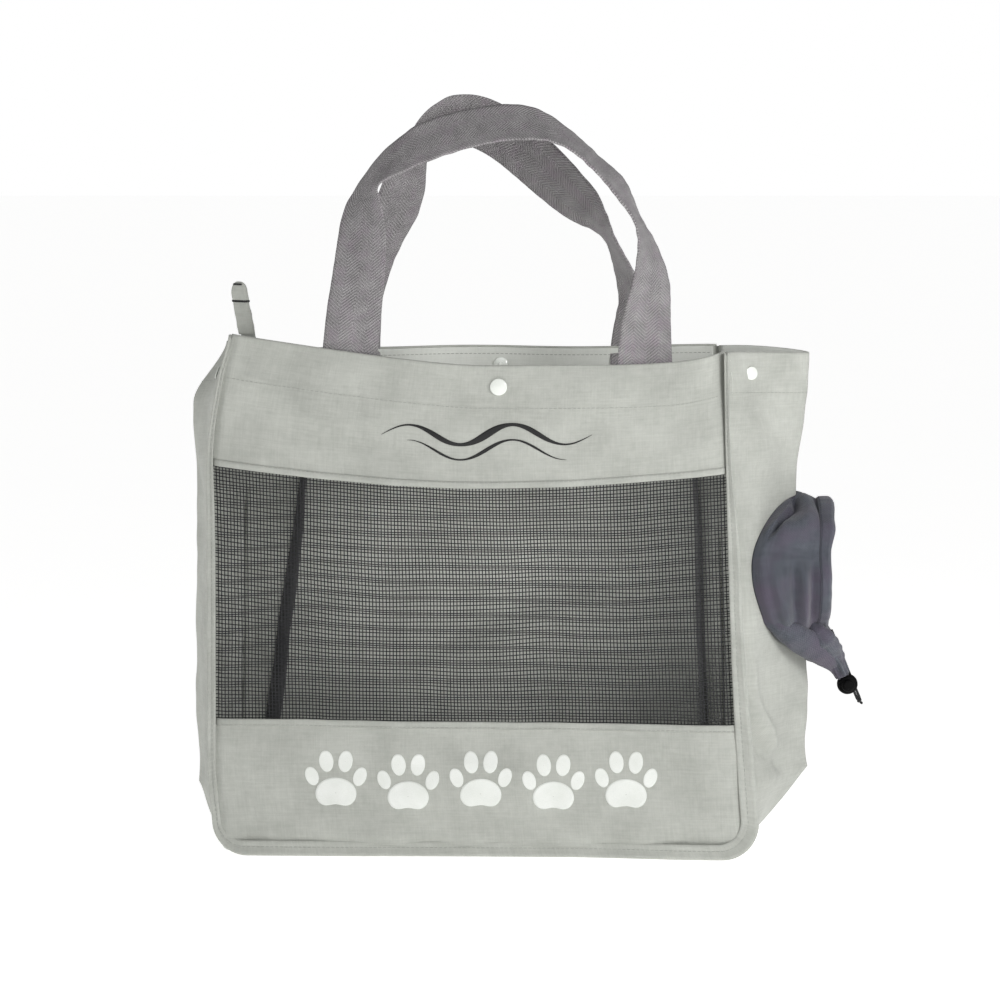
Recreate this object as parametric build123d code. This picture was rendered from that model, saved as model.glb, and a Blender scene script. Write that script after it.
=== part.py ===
from build123d import *
import os
from math import asin, atan, cos, hypot, sin

# Pet carrier bag: a soft canvas tote with a mesh window, two webbing handles, a zipped top closure
# and a drawstring collar in the right-hand side for the pet's head.
# Millimetres, +Z up, +X to the right of the front panel, -Y towards the front.
# The origin is on the underside of the base, at its middle.

# --- shell ---------------------------------------------------------------------------------------
PANEL_HEIGHT = 364.0      # floor to the top edge
BASE_WIDTH = 384.0        # across the seam ridges at the floor
TOP_WIDTH = 362.0         # across the seam ridges at the top edge
BASE_DEPTH = 160.0        # front face to rear face at the floor
TOP_DEPTH = 112.0         # front face to rear face at the top edge
CANVAS = 2.0              # canvas wall
EDGE_SAG = 6.0            # dip of the front top edge at its middle
GAP = 0.3                 # clear air between pieces that move past each other

# --- pinched seam ridges round the front and rear panels -------------------------------------------
RIDGE_SIDE = 6.5          # width of the ridge up each side
RIDGE_BASE = 11.0         # width of the ridge along the floor
RIDGE_PROUD = 1.0         # stands in front of the panel's face
RIDGE_BACK = 3.0          # reaches behind the panel's face
RIDGE_CORNER = 14.0       # rounded lower corners

# --- window in the front panel ---------------------------------------------------------------------
WINDOW_BOTTOM = 97.0      # height of its lower edge
WINDOW_TOP = 279.0        # height of its upper edge, at the sides
WINDOW_SAG = 13.0         # dip of the upper edge at its middle
MESH_SHEET = 1.2          # mesh thickness
MESH_LAP = 8.0            # mesh sewn behind each canvas band
HEM_WIDTH = 5.0           # folded binding along the window's edges
HEM_PROUD = 0.8           # binding thickness

# --- gussets ---------------------------------------------------------------------------------------
KNEE_HEIGHT = 50.0        # height where the gussets reach their bulge
PINCH_DROP = 60.0         # the top stretch over which the bulge changes
RIGHT_BULGE = 52.0        # centre fold beyond the right ridge
RIGHT_TOP_BULGE = 61.0
LEFT_BULGE = 25.0         # centre fold beyond the left ridge
LEFT_TOP_BULGE = 5.0
GUSSET_SET_IN = 1.0       # gusset's edge inside the ridge's edge

# --- base ------------------------------------------------------------------------------------------
BOARD_THICKNESS = 4.0     # stiff insert that keeps the base flat
BOARD_CLEARANCE = 4.0     # round the insert

# --- facing and zipped closure ---------------------------------------------------------------------
FACING = 1.5              # facing thickness
ZIP_DROP = 34.0           # closure below the top edge
FLAP_LEFT = 140.0         # closure flaps run from here on the left
FLAP_RIGHT = 165.0        # to here on the right
ZIP_WINDOW = 9.0          # flap edge to the middle of the zip
TAPE_THICKNESS = 0.8
TAPE_LAP = 7.0            # tape sewn under the flap
TAPE_TAIL = 24.0          # tape beyond the flaps' left end
CHAIN_WIDTH = 2.2         # one row of teeth
CHAIN_THICKNESS = 1.8
CHAIN_SHORT = 6.0         # teeth stop before the flaps' right end
STOP_LENGTH = 3.0         # top stops after the last teeth

# --- zip slider and pull ---------------------------------------------------------------------------
SLIDER_LENGTH = 12.0
SLIDER_WIDTH = 10.0
SLIDER_PLATE = 1.4
SLIDER_WEB = 0.6          # wall between the two rows of teeth
BAIL_WIDTH = 2.4          # loop that carries the pull
BAIL_LENGTH = 6.0
BAIL_HEIGHT = 4.4
PIN_RADIUS = 0.9          # cross pin of the pull
PULL_LENGTH = 24.0
PULL_WIDTH = 8.0
PULL_THICKNESS = 1.6
PULL_ARM = 1.8            # side arms beside the loop

# --- zip tail --------------------------------------------------------------------------------------
TAIL_WIDTH = 16.0
TAIL_THICKNESS = 2.4
TAIL_RISE = 56.0          # above the closure
TAB_WIDTH = 19.0
TAB_THICKNESS = 6.0
TAB_LENGTH = 38.0
TAB_LAP = 8.0             # tail's end inside the tab

# --- webbing handles -------------------------------------------------------------------------------
WEBBING_WIDTH = 40.0
WEBBING_THICKNESS = 2.0
HANDLE_CENTRE = 14.0      # middle of the handles, to the right of the base's middle
HANDLE_SPACING = 214.0    # between the middles of the two legs
HANDLE_FLEX = 7.0         # bending line above the top edge
FRONT_RISE = 173.0        # bending line to the top of the loop
REAR_RISE = 184.0
LEG_RUN = 90.0            # straight leg before the arch
LEG_TAPER = 12.0          # the legs draw in over that run
CROWN_WIDTH = 27.0        # webbing seen at the top of the loop
CROWN_GAP = 8.0           # each loop's top from the middle plane

# --- press studs -----------------------------------------------------------------------------------
SNAP_DROP = 16.0          # below the top edge
CAP_RADIUS = 6.2
CAP_THICKNESS = 1.6
POST_RADIUS = 1.6
SOCKET_RADIUS = 5.6
SOCKET_THICKNESS = 2.4
NIB_RADIUS = 2.0          # the stud's nib and the socket's mouth, which takes it with GAP
NIB_LENGTH = 1.6
SIDE_SNAP_SHARE = 0.33    # place across the gusset, from its front seam to the fold
SIDE_CAP_RADIUS = 4.6

# --- head collar -----------------------------------------------------------------------------------
COLLAR_HEIGHT = 195.0     # middle of the hole in the right gusset
HOLE_RISE = 63.0          # half height of the hole
HOLE_REACH = 48.0         # half width of the hole, seen from the side
MOUTH_HEIGHT = 198.0      # middle of the drawn-in mouth
MOUTH_RADIUS = 44.5       # outside of the hem
MOUTH_REACH = 264.0       # end of the hem, from the bag's middle
COLLAR_WALL = 2.0
HEM_LENGTH = 8.0          # drawstring channel
HEM_WALL = 5.0

# --- drawcord and cord lock ------------------------------------------------------------------------
CORD_RADIUS = 1.0
CHANNEL_RADIUS = 1.5
CORD_APART = 2.8          # between the two tails
CORD_OUT = 22.0           # the tails lean outward by this
CORD_DOWN = 51.0          # over this drop
KNOT_RADIUS = 3.2
KNOT_LENGTH = 6.0
LOCK_ALONG = 14.0         # lock's size along the cords
LOCK_ACROSS = 11.6
LOCK_DEPTH = 12.0
LOCK_WALL = 1.3
LOCK_FLOOR = 1.3
LOCK_FROM_KNOT = 3.0      # clear stretch of cord under the lock
PLUNGER_STANDS = 5.0      # button outside the lock
PLUNGER_TRAVEL = 4.0
CORD_CLEARANCE = 0.4
SPRING_WIRE = 0.4
SPRING_RADIUS = 1.8

# --- worked-out values -----------------------------------------------------------------------------
lean = (BASE_DEPTH - TOP_DEPTH) / 2
slope = hypot(PANEL_HEIGHT, lean)
tilt = atan(lean / PANEL_HEIGHT)
front_plane = Plane(origin=(0, -BASE_DEPTH / 2, 0), x_dir=(1, 0, 0), z_dir=(0, -PANEL_HEIGHT, lean))


def along(height):
    """Distance up the sloping panel to a height above the floor."""
    return height * slope / PANEL_HEIGHT


def panel_half(v):
    """Half width of the panel, ridges included, at a distance up it."""
    return BASE_WIDTH / 2 - (BASE_WIDTH - TOP_WIDTH) / 2 * v / slope


def half_depth(height):
    """Middle plane to the panel's outer face at a height."""
    return BASE_DEPTH / 2 - lean * height / PANEL_HEIGHT


def half_width(height):
    """Middle plane to the ridge's outer edge at a height."""
    return BASE_WIDTH / 2 - (BASE_WIDTH - TOP_WIDTH) / 2 * height / PANEL_HEIGHT


def behind(height, depth):
    """Middle plane to a layer that lies a depth behind the panel's outer face."""
    return half_depth(height) - depth / cos(tilt)


def rear(part):
    """The same piece on the rear panel."""
    return mirror(part, about=Plane.XZ)


def box(x_low, x_high, y_low, y_high, z_low, z_high):
    """A block between two corners."""
    block = Box(x_high - x_low, y_high - y_low, z_high - z_low, align=(Align.MIN,) * 3)
    return Pos(x_low, y_low, z_low) * block


def edge_line(left, right, sag):
    """A panel edge between two points, straight or dipping at its middle."""
    if sag == 0:
        return Line(left, right)
    return ThreePointArc(left, ((left[0] + right[0]) / 2, left[1] - sag), right)


def strip(v_low, v_high, inset, front, back, sag_low=0.0, sag_high=0.0):
    """A layer of the panel between two distances up it and two depths behind its outer face."""
    low = panel_half(v_low) - inset
    high = panel_half(v_high) - inset
    outline = [
        Line((-low, v_low), (-high, v_high)),
        edge_line((-high, v_high), (high, v_high), sag_high),
        Line((high, v_high), (low, v_low)),
        edge_line((low, v_low), (-low, v_low), sag_low),
    ]
    layer = extrude(make_face(outline), amount=back - front, dir=(0, 0, 1))
    return front_plane.location * Pos(0, 0, -back) * layer


def panel_disc(x, v, radius, front, back):
    """A disc square to the panel, between two depths behind its outer face."""
    disc = Cylinder(radius, back - front, align=(Align.CENTER, Align.CENTER, Align.MIN))
    return front_plane.location * Pos(x, v, -back) * disc


# --- gusset surface --------------------------------------------------------------------------------
# Each gusset is a folded sheet between the two seam ridges. Its thickness is laid off along X.
sheet_slant = cos(atan(RIGHT_BULGE / half_depth(PANEL_HEIGHT / 2)))
gusset_sheet = CANVAS / sheet_slant
gusset_facing = FACING / sheet_slant


def gusset_levels(bulge, top_bulge):
    """Heights of the fold's corners, with its bulge beyond the ridges at each."""
    return [(0.0, 0.0), (KNEE_HEIGHT, bulge), (PANEL_HEIGHT - PINCH_DROP, bulge), (PANEL_HEIGHT, top_bulge)]


def seam_point(height):
    """Front edge of the right gusset at a height."""
    return Vector(half_width(height) - GUSSET_SET_IN, -behind(height, RIDGE_BACK), height)


def fold_point(height, bulge):
    """Centre fold of the right gusset at a height."""
    return Vector(half_width(height) - GUSSET_SET_IN + bulge, 0, height)


def gusset_triangles(bulge, top_bulge):
    """The front half of the folded sheet, two triangles to a level."""
    triangles = []
    levels = gusset_levels(bulge, top_bulge)
    for (low, low_bulge), (high, high_bulge) in zip(levels, levels[1:]):
        seam_low, seam_high = seam_point(low), seam_point(high)
        fold_low, fold_high = fold_point(low, low_bulge), fold_point(high, high_bulge)
        triangles.append((seam_low, fold_low, fold_high))
        triangles.append((seam_low, fold_high, seam_high))
    return triangles


def gusset_half(bulge, top_bulge, near, far):
    """The front half of the right-hand folded sheet, between two distances inside its outer face."""
    half = Part()
    for corners in gusset_triangles(bulge, top_bulge):
        face = make_face(Polyline(*[c - Vector(near, 0, 0) for c in corners], close=True))
        half += extrude(face, amount=far - near, dir=(-1, 0, 0))
    return half


def gusset_layer(bulge, top_bulge, near, far):
    """Both halves of the right-hand folded sheet as one."""
    half = gusset_half(bulge, top_bulge, near, far)
    return half + rear(half)


def left(part):
    """A right-hand piece carried over to the left side."""
    return mirror(part, about=Plane.YZ)


# --- front and rear panels -------------------------------------------------------------------------
floor_start = RIDGE_BACK * lean / PANEL_HEIGHT
top_v = slope
window_low = along(WINDOW_BOTTOM)
window_high = along(WINDOW_TOP)


def make_ridge():
    """Left and right bars and a floor bar with rounded corners, as three solids."""
    depth = RIDGE_PROUD + RIDGE_BACK
    place = front_plane.location * Pos(0, 0, -RIDGE_BACK)
    low, high = panel_half(RIDGE_BASE), panel_half(top_v)
    bar = Polyline(
        (low - RIDGE_SIDE, RIDGE_BASE),
        (low, RIDGE_BASE),
        (high, top_v),
        (high - RIDGE_SIDE, top_v),
        close=True,
    )
    right_bar = extrude(make_face(bar), amount=depth, dir=(0, 0, 1))
    wide = panel_half(floor_start)
    corners = [(-wide, floor_start), (wide, floor_start), (low, RIDGE_BASE), (-low, RIDGE_BASE)]
    floor_face = make_face(Polyline(*corners, close=True))
    lower_corners = floor_face.vertices().group_by(Axis.Y)[0]
    floor_face = fillet(lower_corners, min(RIDGE_CORNER, 0.9 * (RIDGE_BASE - floor_start)))
    floor_bar = extrude(floor_face, amount=depth, dir=(0, 0, 1))
    return [place * right_bar, place * left(right_bar), place * floor_bar]


front_ridge = Compound(make_ridge())
rear_ridge = rear(front_ridge)

front_snap_v = top_v - EDGE_SAG - SNAP_DROP
rear_snap_v = top_v - SNAP_DROP
post_hole = POST_RADIUS + GAP

front_top_band = strip(window_high, top_v, RIDGE_SIDE, 0, CANVAS, WINDOW_SAG, EDGE_SAG)
front_top_band -= panel_disc(HANDLE_CENTRE, front_snap_v, post_hole, 0, CANVAS)
front_bottom_band = strip(RIDGE_BASE, window_low, RIDGE_SIDE, 0, CANVAS)
front_mesh = strip(window_low - MESH_LAP, window_high + MESH_LAP, RIDGE_SIDE,
                   CANVAS, CANVAS + MESH_SHEET, 0, WINDOW_SAG)
window_hem_top = strip(window_high, window_high + HEM_WIDTH, RIDGE_SIDE,
                       -HEM_PROUD, 0, WINDOW_SAG, WINDOW_SAG)
window_hem_bottom = strip(window_low - HEM_WIDTH, window_low, RIDGE_SIDE, -HEM_PROUD, 0)
rear_panel = rear(strip(RIDGE_BASE, top_v, RIDGE_SIDE, 0, CANVAS))
rear_panel -= rear(panel_disc(HANDLE_CENTRE, rear_snap_v, post_hole, 0, CANVAS))

# --- base ------------------------------------------------------------------------------------------
base_half_depth = behind(CANVAS, RIDGE_BACK)
base_half_width = half_width(0) - GUSSET_SET_IN - gusset_sheet
base_panel = box(-base_half_width, base_half_width, -base_half_depth, base_half_depth, 0, CANVAS)
board_half_width = base_half_width - BOARD_CLEARANCE
board_half_depth = behind(CANVAS + BOARD_THICKNESS, RIDGE_BACK) - BOARD_CLEARANCE
base_board = box(-board_half_width, board_half_width, -board_half_depth, board_half_depth,
                 CANVAS, CANVAS + BOARD_THICKNESS)
base_board = fillet(base_board.edges().filter_by(Axis.Z), RIDGE_CORNER)

# --- facings and closure ledges --------------------------------------------------------------------
zip_height = PANEL_HEIGHT - ZIP_DROP
facing_back = CANVAS + FACING
webbing_back = facing_back + WEBBING_THICKNESS
flap_hinge_y = -behind(zip_height, webbing_back + GAP + CANVAS / 2)
flap_clear = CANVAS / 2 + GAP
ledge_low, ledge_high = zip_height - CANVAS / 2, zip_height + CANVAS / 2


def make_facing(sag, snap_v):
    """The folded-in strip behind a top edge, with the ledge that the closure flap is sewn to."""
    facing = strip(along(ledge_low), top_v, RIDGE_SIDE, CANVAS, facing_back, 0, sag)
    ledge_edge = -behind(ledge_high, (CANVAS + facing_back) / 2)
    facing += box(-FLAP_LEFT, FLAP_RIGHT, ledge_edge, flap_hinge_y - flap_clear, ledge_low, ledge_high)
    return facing - panel_disc(HANDLE_CENTRE, snap_v, post_hole, CANVAS, facing_back)


front_facing = make_facing(EDGE_SAG, front_snap_v)
rear_facing = rear(make_facing(0, rear_snap_v))

# --- gussets with their snaps ----------------------------------------------------------------------
SIDES = {"right": (RIGHT_BULGE, RIGHT_TOP_BULGE), "left": (LEFT_BULGE, LEFT_TOP_BULGE)}
facing_band = box(-BASE_WIDTH, BASE_WIDTH, -BASE_DEPTH, BASE_DEPTH, ledge_low, PANEL_HEIGHT)


def side_snap_plane(bulge, top_bulge):
    """Plane on the front half of the right gusset, near its top, facing outward."""
    seam_low, fold_high, seam_high = gusset_triangles(bulge, top_bulge)[-1]
    share_down = SNAP_DROP / PINCH_DROP
    top_spot = seam_high + (fold_high - seam_high) * SIDE_SNAP_SHARE
    spot = top_spot + (seam_low - seam_high) * share_down
    normal = (seam_low - seam_high).cross(fold_high - seam_high).normalized()
    if normal.X < 0:
        normal = normal * -1
    return Plane(origin=spot, x_dir=(seam_high - seam_low), z_dir=normal)


def raised_disc(radius, low, high):
    """A disc on the XY plane between two heights."""
    return Pos(0, 0, low) * Cylinder(radius, high - low, align=(Align.CENTER, Align.CENTER, Align.MIN))


def stud():
    """Press stud on the plane z = 0: a flange with a nib."""
    flange = raised_disc(SOCKET_RADIUS, 0, SOCKET_THICKNESS / 2)
    return flange + raised_disc(NIB_RADIUS, 0, SOCKET_THICKNESS / 2 + NIB_LENGTH)


def socket():
    """Press stud socket on the plane z = 0: a ring with a blind mouth for the nib."""
    ring = raised_disc(SOCKET_RADIUS, 0, SOCKET_THICKNESS)
    ring = fillet(ring.edges().group_by(Axis.Z)[-1], SOCKET_THICKNESS / 4)
    return ring - raised_disc(NIB_RADIUS + GAP, SOCKET_THICKNESS - NIB_LENGTH, SOCKET_THICKNESS)


def cap(radius, post_length):
    """Domed cap below the plane z = 0, with a post that reaches up through the cloth."""
    dome = raised_disc(radius, -post_length - CAP_THICKNESS, -post_length)
    dome = fillet(dome.edges().group_by(Axis.Z)[0], CAP_THICKNESS * 0.6)
    return dome + raised_disc(POST_RADIUS, -post_length, 0)


gussets = {}
side_facings = {}
side_studs = {}
side_sockets = {}
side_caps = []
for side, (bulge, top_bulge) in SIDES.items():
    place = side_snap_plane(bulge, top_bulge)
    cloth = (gusset_sheet + gusset_facing) * place.z_dir.X
    hole = place.location * raised_disc(post_hole, -cloth - CANVAS, CANVAS)
    gusset = gusset_half(bulge, top_bulge, 0, gusset_sheet) - hole
    lining = gusset_layer(bulge, top_bulge, gusset_sheet, gusset_sheet + gusset_facing) & facing_band
    lining = lining - hole - rear(hole)
    side_cap = place.location * cap(SIDE_CAP_RADIUS, cloth)
    side_stud = place.location * stud()
    side_socket = rear(place.location * socket())
    pieces = [gusset, lining, side_stud, side_socket, side_cap, rear(side_cap)]
    if side == "left":
        pieces = [left(piece) for piece in pieces]
    gussets[side], side_facings[side], side_studs[side], side_sockets[side] = pieces[:4]
    side_caps += pieces[4:]

# --- centre snap -----------------------------------------------------------------------------------
front_snap_place = front_plane.location * Pos(HANDLE_CENTRE, front_snap_v, -facing_back) * Rot(180, 0, 0)
rear_snap_place = front_plane.location * Pos(HANDLE_CENTRE, rear_snap_v, -facing_back) * Rot(180, 0, 0)
front_snap_cap = front_snap_place * cap(CAP_RADIUS, facing_back)
front_snap_socket = front_snap_place * socket()
rear_snap_cap = rear(rear_snap_place * cap(CAP_RADIUS, facing_back))
rear_snap_stud = rear(rear_snap_place * stud())

# --- zipped closure --------------------------------------------------------------------------------
chain_gap = SLIDER_WEB / 2 + GAP
tape_top = ledge_low
tape_low = tape_top - TAPE_THICKNESS
tape_middle = (tape_top + tape_low) / 2
chain_edge = chain_gap + CHAIN_WIDTH
chain_right = FLAP_RIGHT - CHAIN_SHORT
tape_left = -FLAP_LEFT - TAPE_TAIL


def make_flap():
    """Front canvas flap, with a round sewn edge on its hinge line."""
    flap = box(-FLAP_LEFT, FLAP_RIGHT, flap_hinge_y, -ZIP_WINDOW, ledge_low, ledge_high)
    rod = Cylinder(CANVAS / 2, FLAP_LEFT + FLAP_RIGHT, rotation=(0, 90, 0))
    return flap + Pos((FLAP_RIGHT - FLAP_LEFT) / 2, flap_hinge_y, zip_height) * rod


def chain_bar(x_low, x_high):
    """A stretch of the front row of teeth, as its envelope."""
    return box(x_low, x_high, -chain_edge, -chain_gap,
               tape_middle - CHAIN_THICKNESS / 2, tape_middle + CHAIN_THICKNESS / 2)


front_zip_flap = make_flap()
front_zip_tape = box(tape_left, FLAP_RIGHT, -ZIP_WINDOW - TAPE_LAP, -chain_edge, tape_low, tape_top)
front_zip_teeth = chain_bar(tape_left, chain_right - STOP_LENGTH)
front_zip_stop = chain_bar(chain_right - STOP_LENGTH, chain_right)

# --- slider, parked at the closed end ----------------------------------------------------------------
slider_x = chain_right - STOP_LENGTH - SLIDER_LENGTH / 2
slider_left, slider_right = slider_x - SLIDER_LENGTH / 2, slider_x + SLIDER_LENGTH / 2
plate_under = tape_middle - CHAIN_THICKNESS / 2 - GAP
plate_over = max(tape_middle + CHAIN_THICKNESS / 2, tape_top) + GAP
bail_low = plate_over + SLIDER_PLATE
pin_height = bail_low + GAP + max(PULL_THICKNESS / 2, PIN_RADIUS)
bail_hole = PIN_RADIUS + GAP
bail_x = slider_x - SLIDER_LENGTH / 2 + BAIL_LENGTH / 2

zip_slider = box(slider_left, slider_right, -SLIDER_WIDTH / 2, SLIDER_WIDTH / 2, plate_over, bail_low)
zip_slider += box(slider_left, slider_right, -SLIDER_WIDTH / 2, SLIDER_WEB / 2,
                  plate_under - SLIDER_PLATE, plate_under)
zip_slider += box(slider_left, slider_right, -SLIDER_WEB / 2, SLIDER_WEB / 2, plate_under, plate_over)
zip_slider += box(bail_x - BAIL_LENGTH / 2, bail_x + BAIL_LENGTH / 2, -BAIL_WIDTH / 2, BAIL_WIDTH / 2,
                  bail_low, bail_low + BAIL_HEIGHT)
zip_slider -= Pos(bail_x, 0, pin_height) * Cylinder(bail_hole, 2 * BAIL_WIDTH, rotation=(90, 0, 0))

arm_inner = BAIL_WIDTH / 2 + GAP
arm_reach = hypot(BAIL_LENGTH / 2, bail_low + BAIL_HEIGHT - pin_height) + GAP
pull_half = PULL_THICKNESS / 2
zip_pull = box(bail_x + arm_reach, bail_x + PULL_LENGTH, -PULL_WIDTH / 2, PULL_WIDTH / 2,
               pin_height - pull_half, pin_height + pull_half)
for near in (-arm_inner - PULL_ARM, arm_inner):
    zip_pull += box(bail_x, bail_x + arm_reach, near, near + PULL_ARM,
                    pin_height - pull_half, pin_height + pull_half)
zip_pull += Pos(bail_x, 0, pin_height) * Cylinder(PIN_RADIUS, 2 * (arm_inner + PULL_ARM), rotation=(90, 0, 0))

# --- zip tail and its folded end tab -----------------------------------------------------------------
tail_right = tape_left - GAP
tail_left = tail_right - TAIL_WIDTH
tail_top = tape_low + TAIL_RISE
zip_tail = box(tail_left, tail_right, -TAIL_WIDTH / 2, TAIL_WIDTH / 2, tape_low, tape_low + TAIL_THICKNESS)
zip_tail += box(tail_left, tail_right, -TAIL_THICKNESS / 2, TAIL_THICKNESS / 2, tape_low, tail_top)
tab_low = tail_top - TAB_LAP
tab_middle = (tail_left + tail_right) / 2
zip_end_tab = box(tab_middle - TAB_WIDTH / 2, tab_middle + TAB_WIDTH / 2,
                  -TAB_THICKNESS / 2, TAB_THICKNESS / 2, tab_low, tab_low + TAB_LENGTH)
zip_end_tab = fillet(zip_end_tab.edges().filter_by(Axis.Y).group_by(Axis.Z)[-1], TAB_WIDTH / 4)
zip_end_tab -= box(tail_left, tail_right, -TAIL_THICKNESS / 2, TAIL_THICKNESS / 2, tab_low, tail_top)

# --- handles ---------------------------------------------------------------------------------------
hinge_v = top_v + HANDLE_FLEX
webbing_middle = facing_back + WEBBING_THICKNESS / 2
hinge_point = front_plane.from_local_coords(Vector(0, hinge_v, -webbing_middle))
legs = (HANDLE_CENTRE - HANDLE_SPACING / 2, HANDLE_CENTRE + HANDLE_SPACING / 2)


def loop_outline(foot, shoulder, crown):
    """One side of the loop: a straight leg, an arc over the crown, and the other leg."""
    left_leg = Line((-foot, 0), (-shoulder, LEG_RUN))
    arch = ThreePointArc((-shoulder, LEG_RUN), (0, crown), (shoulder, LEG_RUN))
    right_leg = Line((shoulder, LEG_RUN), (foot, 0))
    return [left_leg, arch, right_leg]


def make_handle(rise):
    """Webbing loop above its bending line, leaning over the mouth of the bag."""
    outer_foot = (HANDLE_SPACING + WEBBING_WIDTH) / 2
    inner_foot = (HANDLE_SPACING - WEBBING_WIDTH) / 2
    outline = loop_outline(outer_foot, outer_foot - LEG_TAPER, rise)
    outline += loop_outline(inner_foot, inner_foot - LEG_TAPER, rise - CROWN_WIDTH)
    outline += [Line((-outer_foot, 0), (-inner_foot, 0)), Line((inner_foot, 0), (outer_foot, 0))]
    web = extrude(make_face(outline), amount=WEBBING_THICKNESS, dir=(0, 0, 1))
    handle = Pos(0, 0, -WEBBING_THICKNESS / 2) * web
    for middle in (-HANDLE_SPACING / 2, HANDLE_SPACING / 2):
        handle += Pos(middle, 0, 0) * Cylinder(WEBBING_THICKNESS / 2, WEBBING_WIDTH, rotation=(0, 90, 0))
    back_lean = asin((-hinge_point.Y - CROWN_GAP) / rise)
    stand = Plane(origin=(HANDLE_CENTRE, hinge_point.Y, hinge_point.Z), x_dir=(1, 0, 0),
                  z_dir=(0, -cos(back_lean), sin(back_lean)))
    return stand.location * handle


def make_handle_ends():
    """The two ends of the webbing, sewn inside the top edge, bevelled where the folded loop comes down."""
    v_low = along(ledge_high + GAP) + webbing_back * lean / PANEL_HEIGHT
    v_high = hinge_v - WEBBING_THICKNESS / 2 - GAP
    bevel = 0.65 * WEBBING_THICKNESS
    bevel_v, bevel_depth = v_high - bevel, facing_back + bevel
    side_view = [(v_low, -webbing_back), (v_low, -facing_back), (bevel_v, -facing_back),
                 (v_high, -bevel_depth), (v_high, -webbing_back)]
    ends = []
    for x in legs:
        corners = [(x - WEBBING_WIDTH / 2, v, depth) for v, depth in side_view]
        end = extrude(make_face(Polyline(*corners, close=True)), amount=WEBBING_WIDTH, dir=(1, 0, 0))
        ends.append(front_plane.location * end)
    return Compound(ends)


front_handle = make_handle(FRONT_RISE)
rear_handle = rear(make_handle(REAR_RISE))
front_handle_ends = make_handle_ends()
rear_handle_ends = rear(front_handle_ends)

# --- head collar -----------------------------------------------------------------------------------
sleeve_end = MOUTH_REACH - HEM_LENGTH
sleeve_start = half_width(COLLAR_HEIGHT) - RIDGE_SIDE


def sleeve_body(inset):
    """Solid that tapers from the gusset's oval hole to the round mouth, drawn in by an inset."""
    base = Plane(origin=(sleeve_start, 0, COLLAR_HEIGHT), x_dir=(0, 1, 0), z_dir=(1, 0, 0))
    mouth = Plane(origin=(sleeve_end, 0, MOUTH_HEIGHT), x_dir=(0, 1, 0), z_dir=(1, 0, 0))
    oval = base.location * Ellipse(HOLE_REACH - inset, HOLE_RISE - inset)
    ring = mouth.location * Ellipse(MOUTH_RADIUS - inset, MOUTH_RADIUS - inset)
    return loft([oval, ring], ruled=True)


inside_bag = gusset_layer(RIGHT_BULGE, RIGHT_TOP_BULGE, 0, BASE_WIDTH / 4)
head_collar = sleeve_body(0) - sleeve_body(COLLAR_WALL) - inside_bag
gussets["right"] -= sleeve_body(COLLAR_WALL)

mouth_place = Pos(sleeve_end, 0, MOUTH_HEIGHT) * Rot(0, 90, 0)
channel = MOUTH_RADIUS - HEM_WALL / 2
hem_ring = Cylinder(MOUTH_RADIUS, HEM_LENGTH, align=(Align.CENTER, Align.CENTER, Align.MIN))
hem_ring -= Cylinder(MOUTH_RADIUS - HEM_WALL, HEM_LENGTH, align=(Align.CENTER, Align.CENTER, Align.MIN))
hem_ring = mouth_place * hem_ring
channel_place = Pos(sleeve_end + HEM_LENGTH / 2, 0, MOUTH_HEIGHT) * Rot(0, 90, 0)
collar_hem = hem_ring - channel_place * Torus(channel, CHANNEL_RADIUS)
hem_cord = channel_place * Torus(channel, CORD_RADIUS)

# --- cord tails, lock and knot -----------------------------------------------------------------------
cord_run = hypot(CORD_OUT, CORD_DOWN)
cord_way = Vector(CORD_OUT, 0, -CORD_DOWN) / cord_run
cord_across = Vector(CORD_DOWN, 0, CORD_OUT) / cord_run
cord_start = Vector(sleeve_end + HEM_LENGTH / 2, 0, MOUTH_HEIGHT - channel - CHANNEL_RADIUS - GAP)
exit_radius = CORD_APART / 2 + CORD_RADIUS + CORD_CLEARANCE
exit_start = cord_start - cord_way * HEM_WALL
collar_hem -= Plane(origin=exit_start, z_dir=cord_way).location * raised_disc(exit_radius, 0, 2 * HEM_WALL)


def cord_tail(offset):
    """One tail, straight from the hem to the knot."""
    start = cord_start + cord_across * offset
    return Plane(origin=start, z_dir=cord_way).location * raised_disc(CORD_RADIUS, 0, cord_run)


front_cord_tail = cord_tail(-CORD_APART / 2)
rear_cord_tail = cord_tail(CORD_APART / 2)
knot_plane = Plane(origin=cord_start + cord_way * cord_run, z_dir=cord_way)
cord_knot = raised_disc(KNOT_RADIUS, 0, KNOT_LENGTH)
cord_knot = knot_plane.location * fillet(cord_knot.edges(), KNOT_RADIUS / 2)

lock_middle = cord_start + cord_way * (cord_run - LOCK_FROM_KNOT - LOCK_ALONG / 2)
lock_plane = Plane(origin=lock_middle, x_dir=cord_way, z_dir=(0, -1, 0))
bore_along, bore_across = LOCK_ALONG - 2 * LOCK_WALL, LOCK_ACROSS - 2 * LOCK_WALL
plunger_along, plunger_across = bore_along - 2 * GAP, bore_across - 2 * GAP
lock_back, lock_front = -LOCK_DEPTH / 2, LOCK_DEPTH / 2
bore_back = lock_back + LOCK_FLOOR
plunger_back = bore_back + PLUNGER_TRAVEL + 2 * SPRING_WIRE + GAP
cord_slot = CORD_RADIUS + CORD_CLEARANCE


def rounded_block(along_size, across_size, low, high):
    """A block with full round ends, on the lock's plane."""
    outline = SlotOverall(along_size, across_size)
    return Pos(0, 0, low) * extrude(outline, amount=high - low)


def cord_passage(low, high):
    """Clear way for both cords, right through along the lock, between two depths."""
    return box(-LOCK_ALONG, LOCK_ALONG, -exit_radius, exit_radius, low, high)


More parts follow.
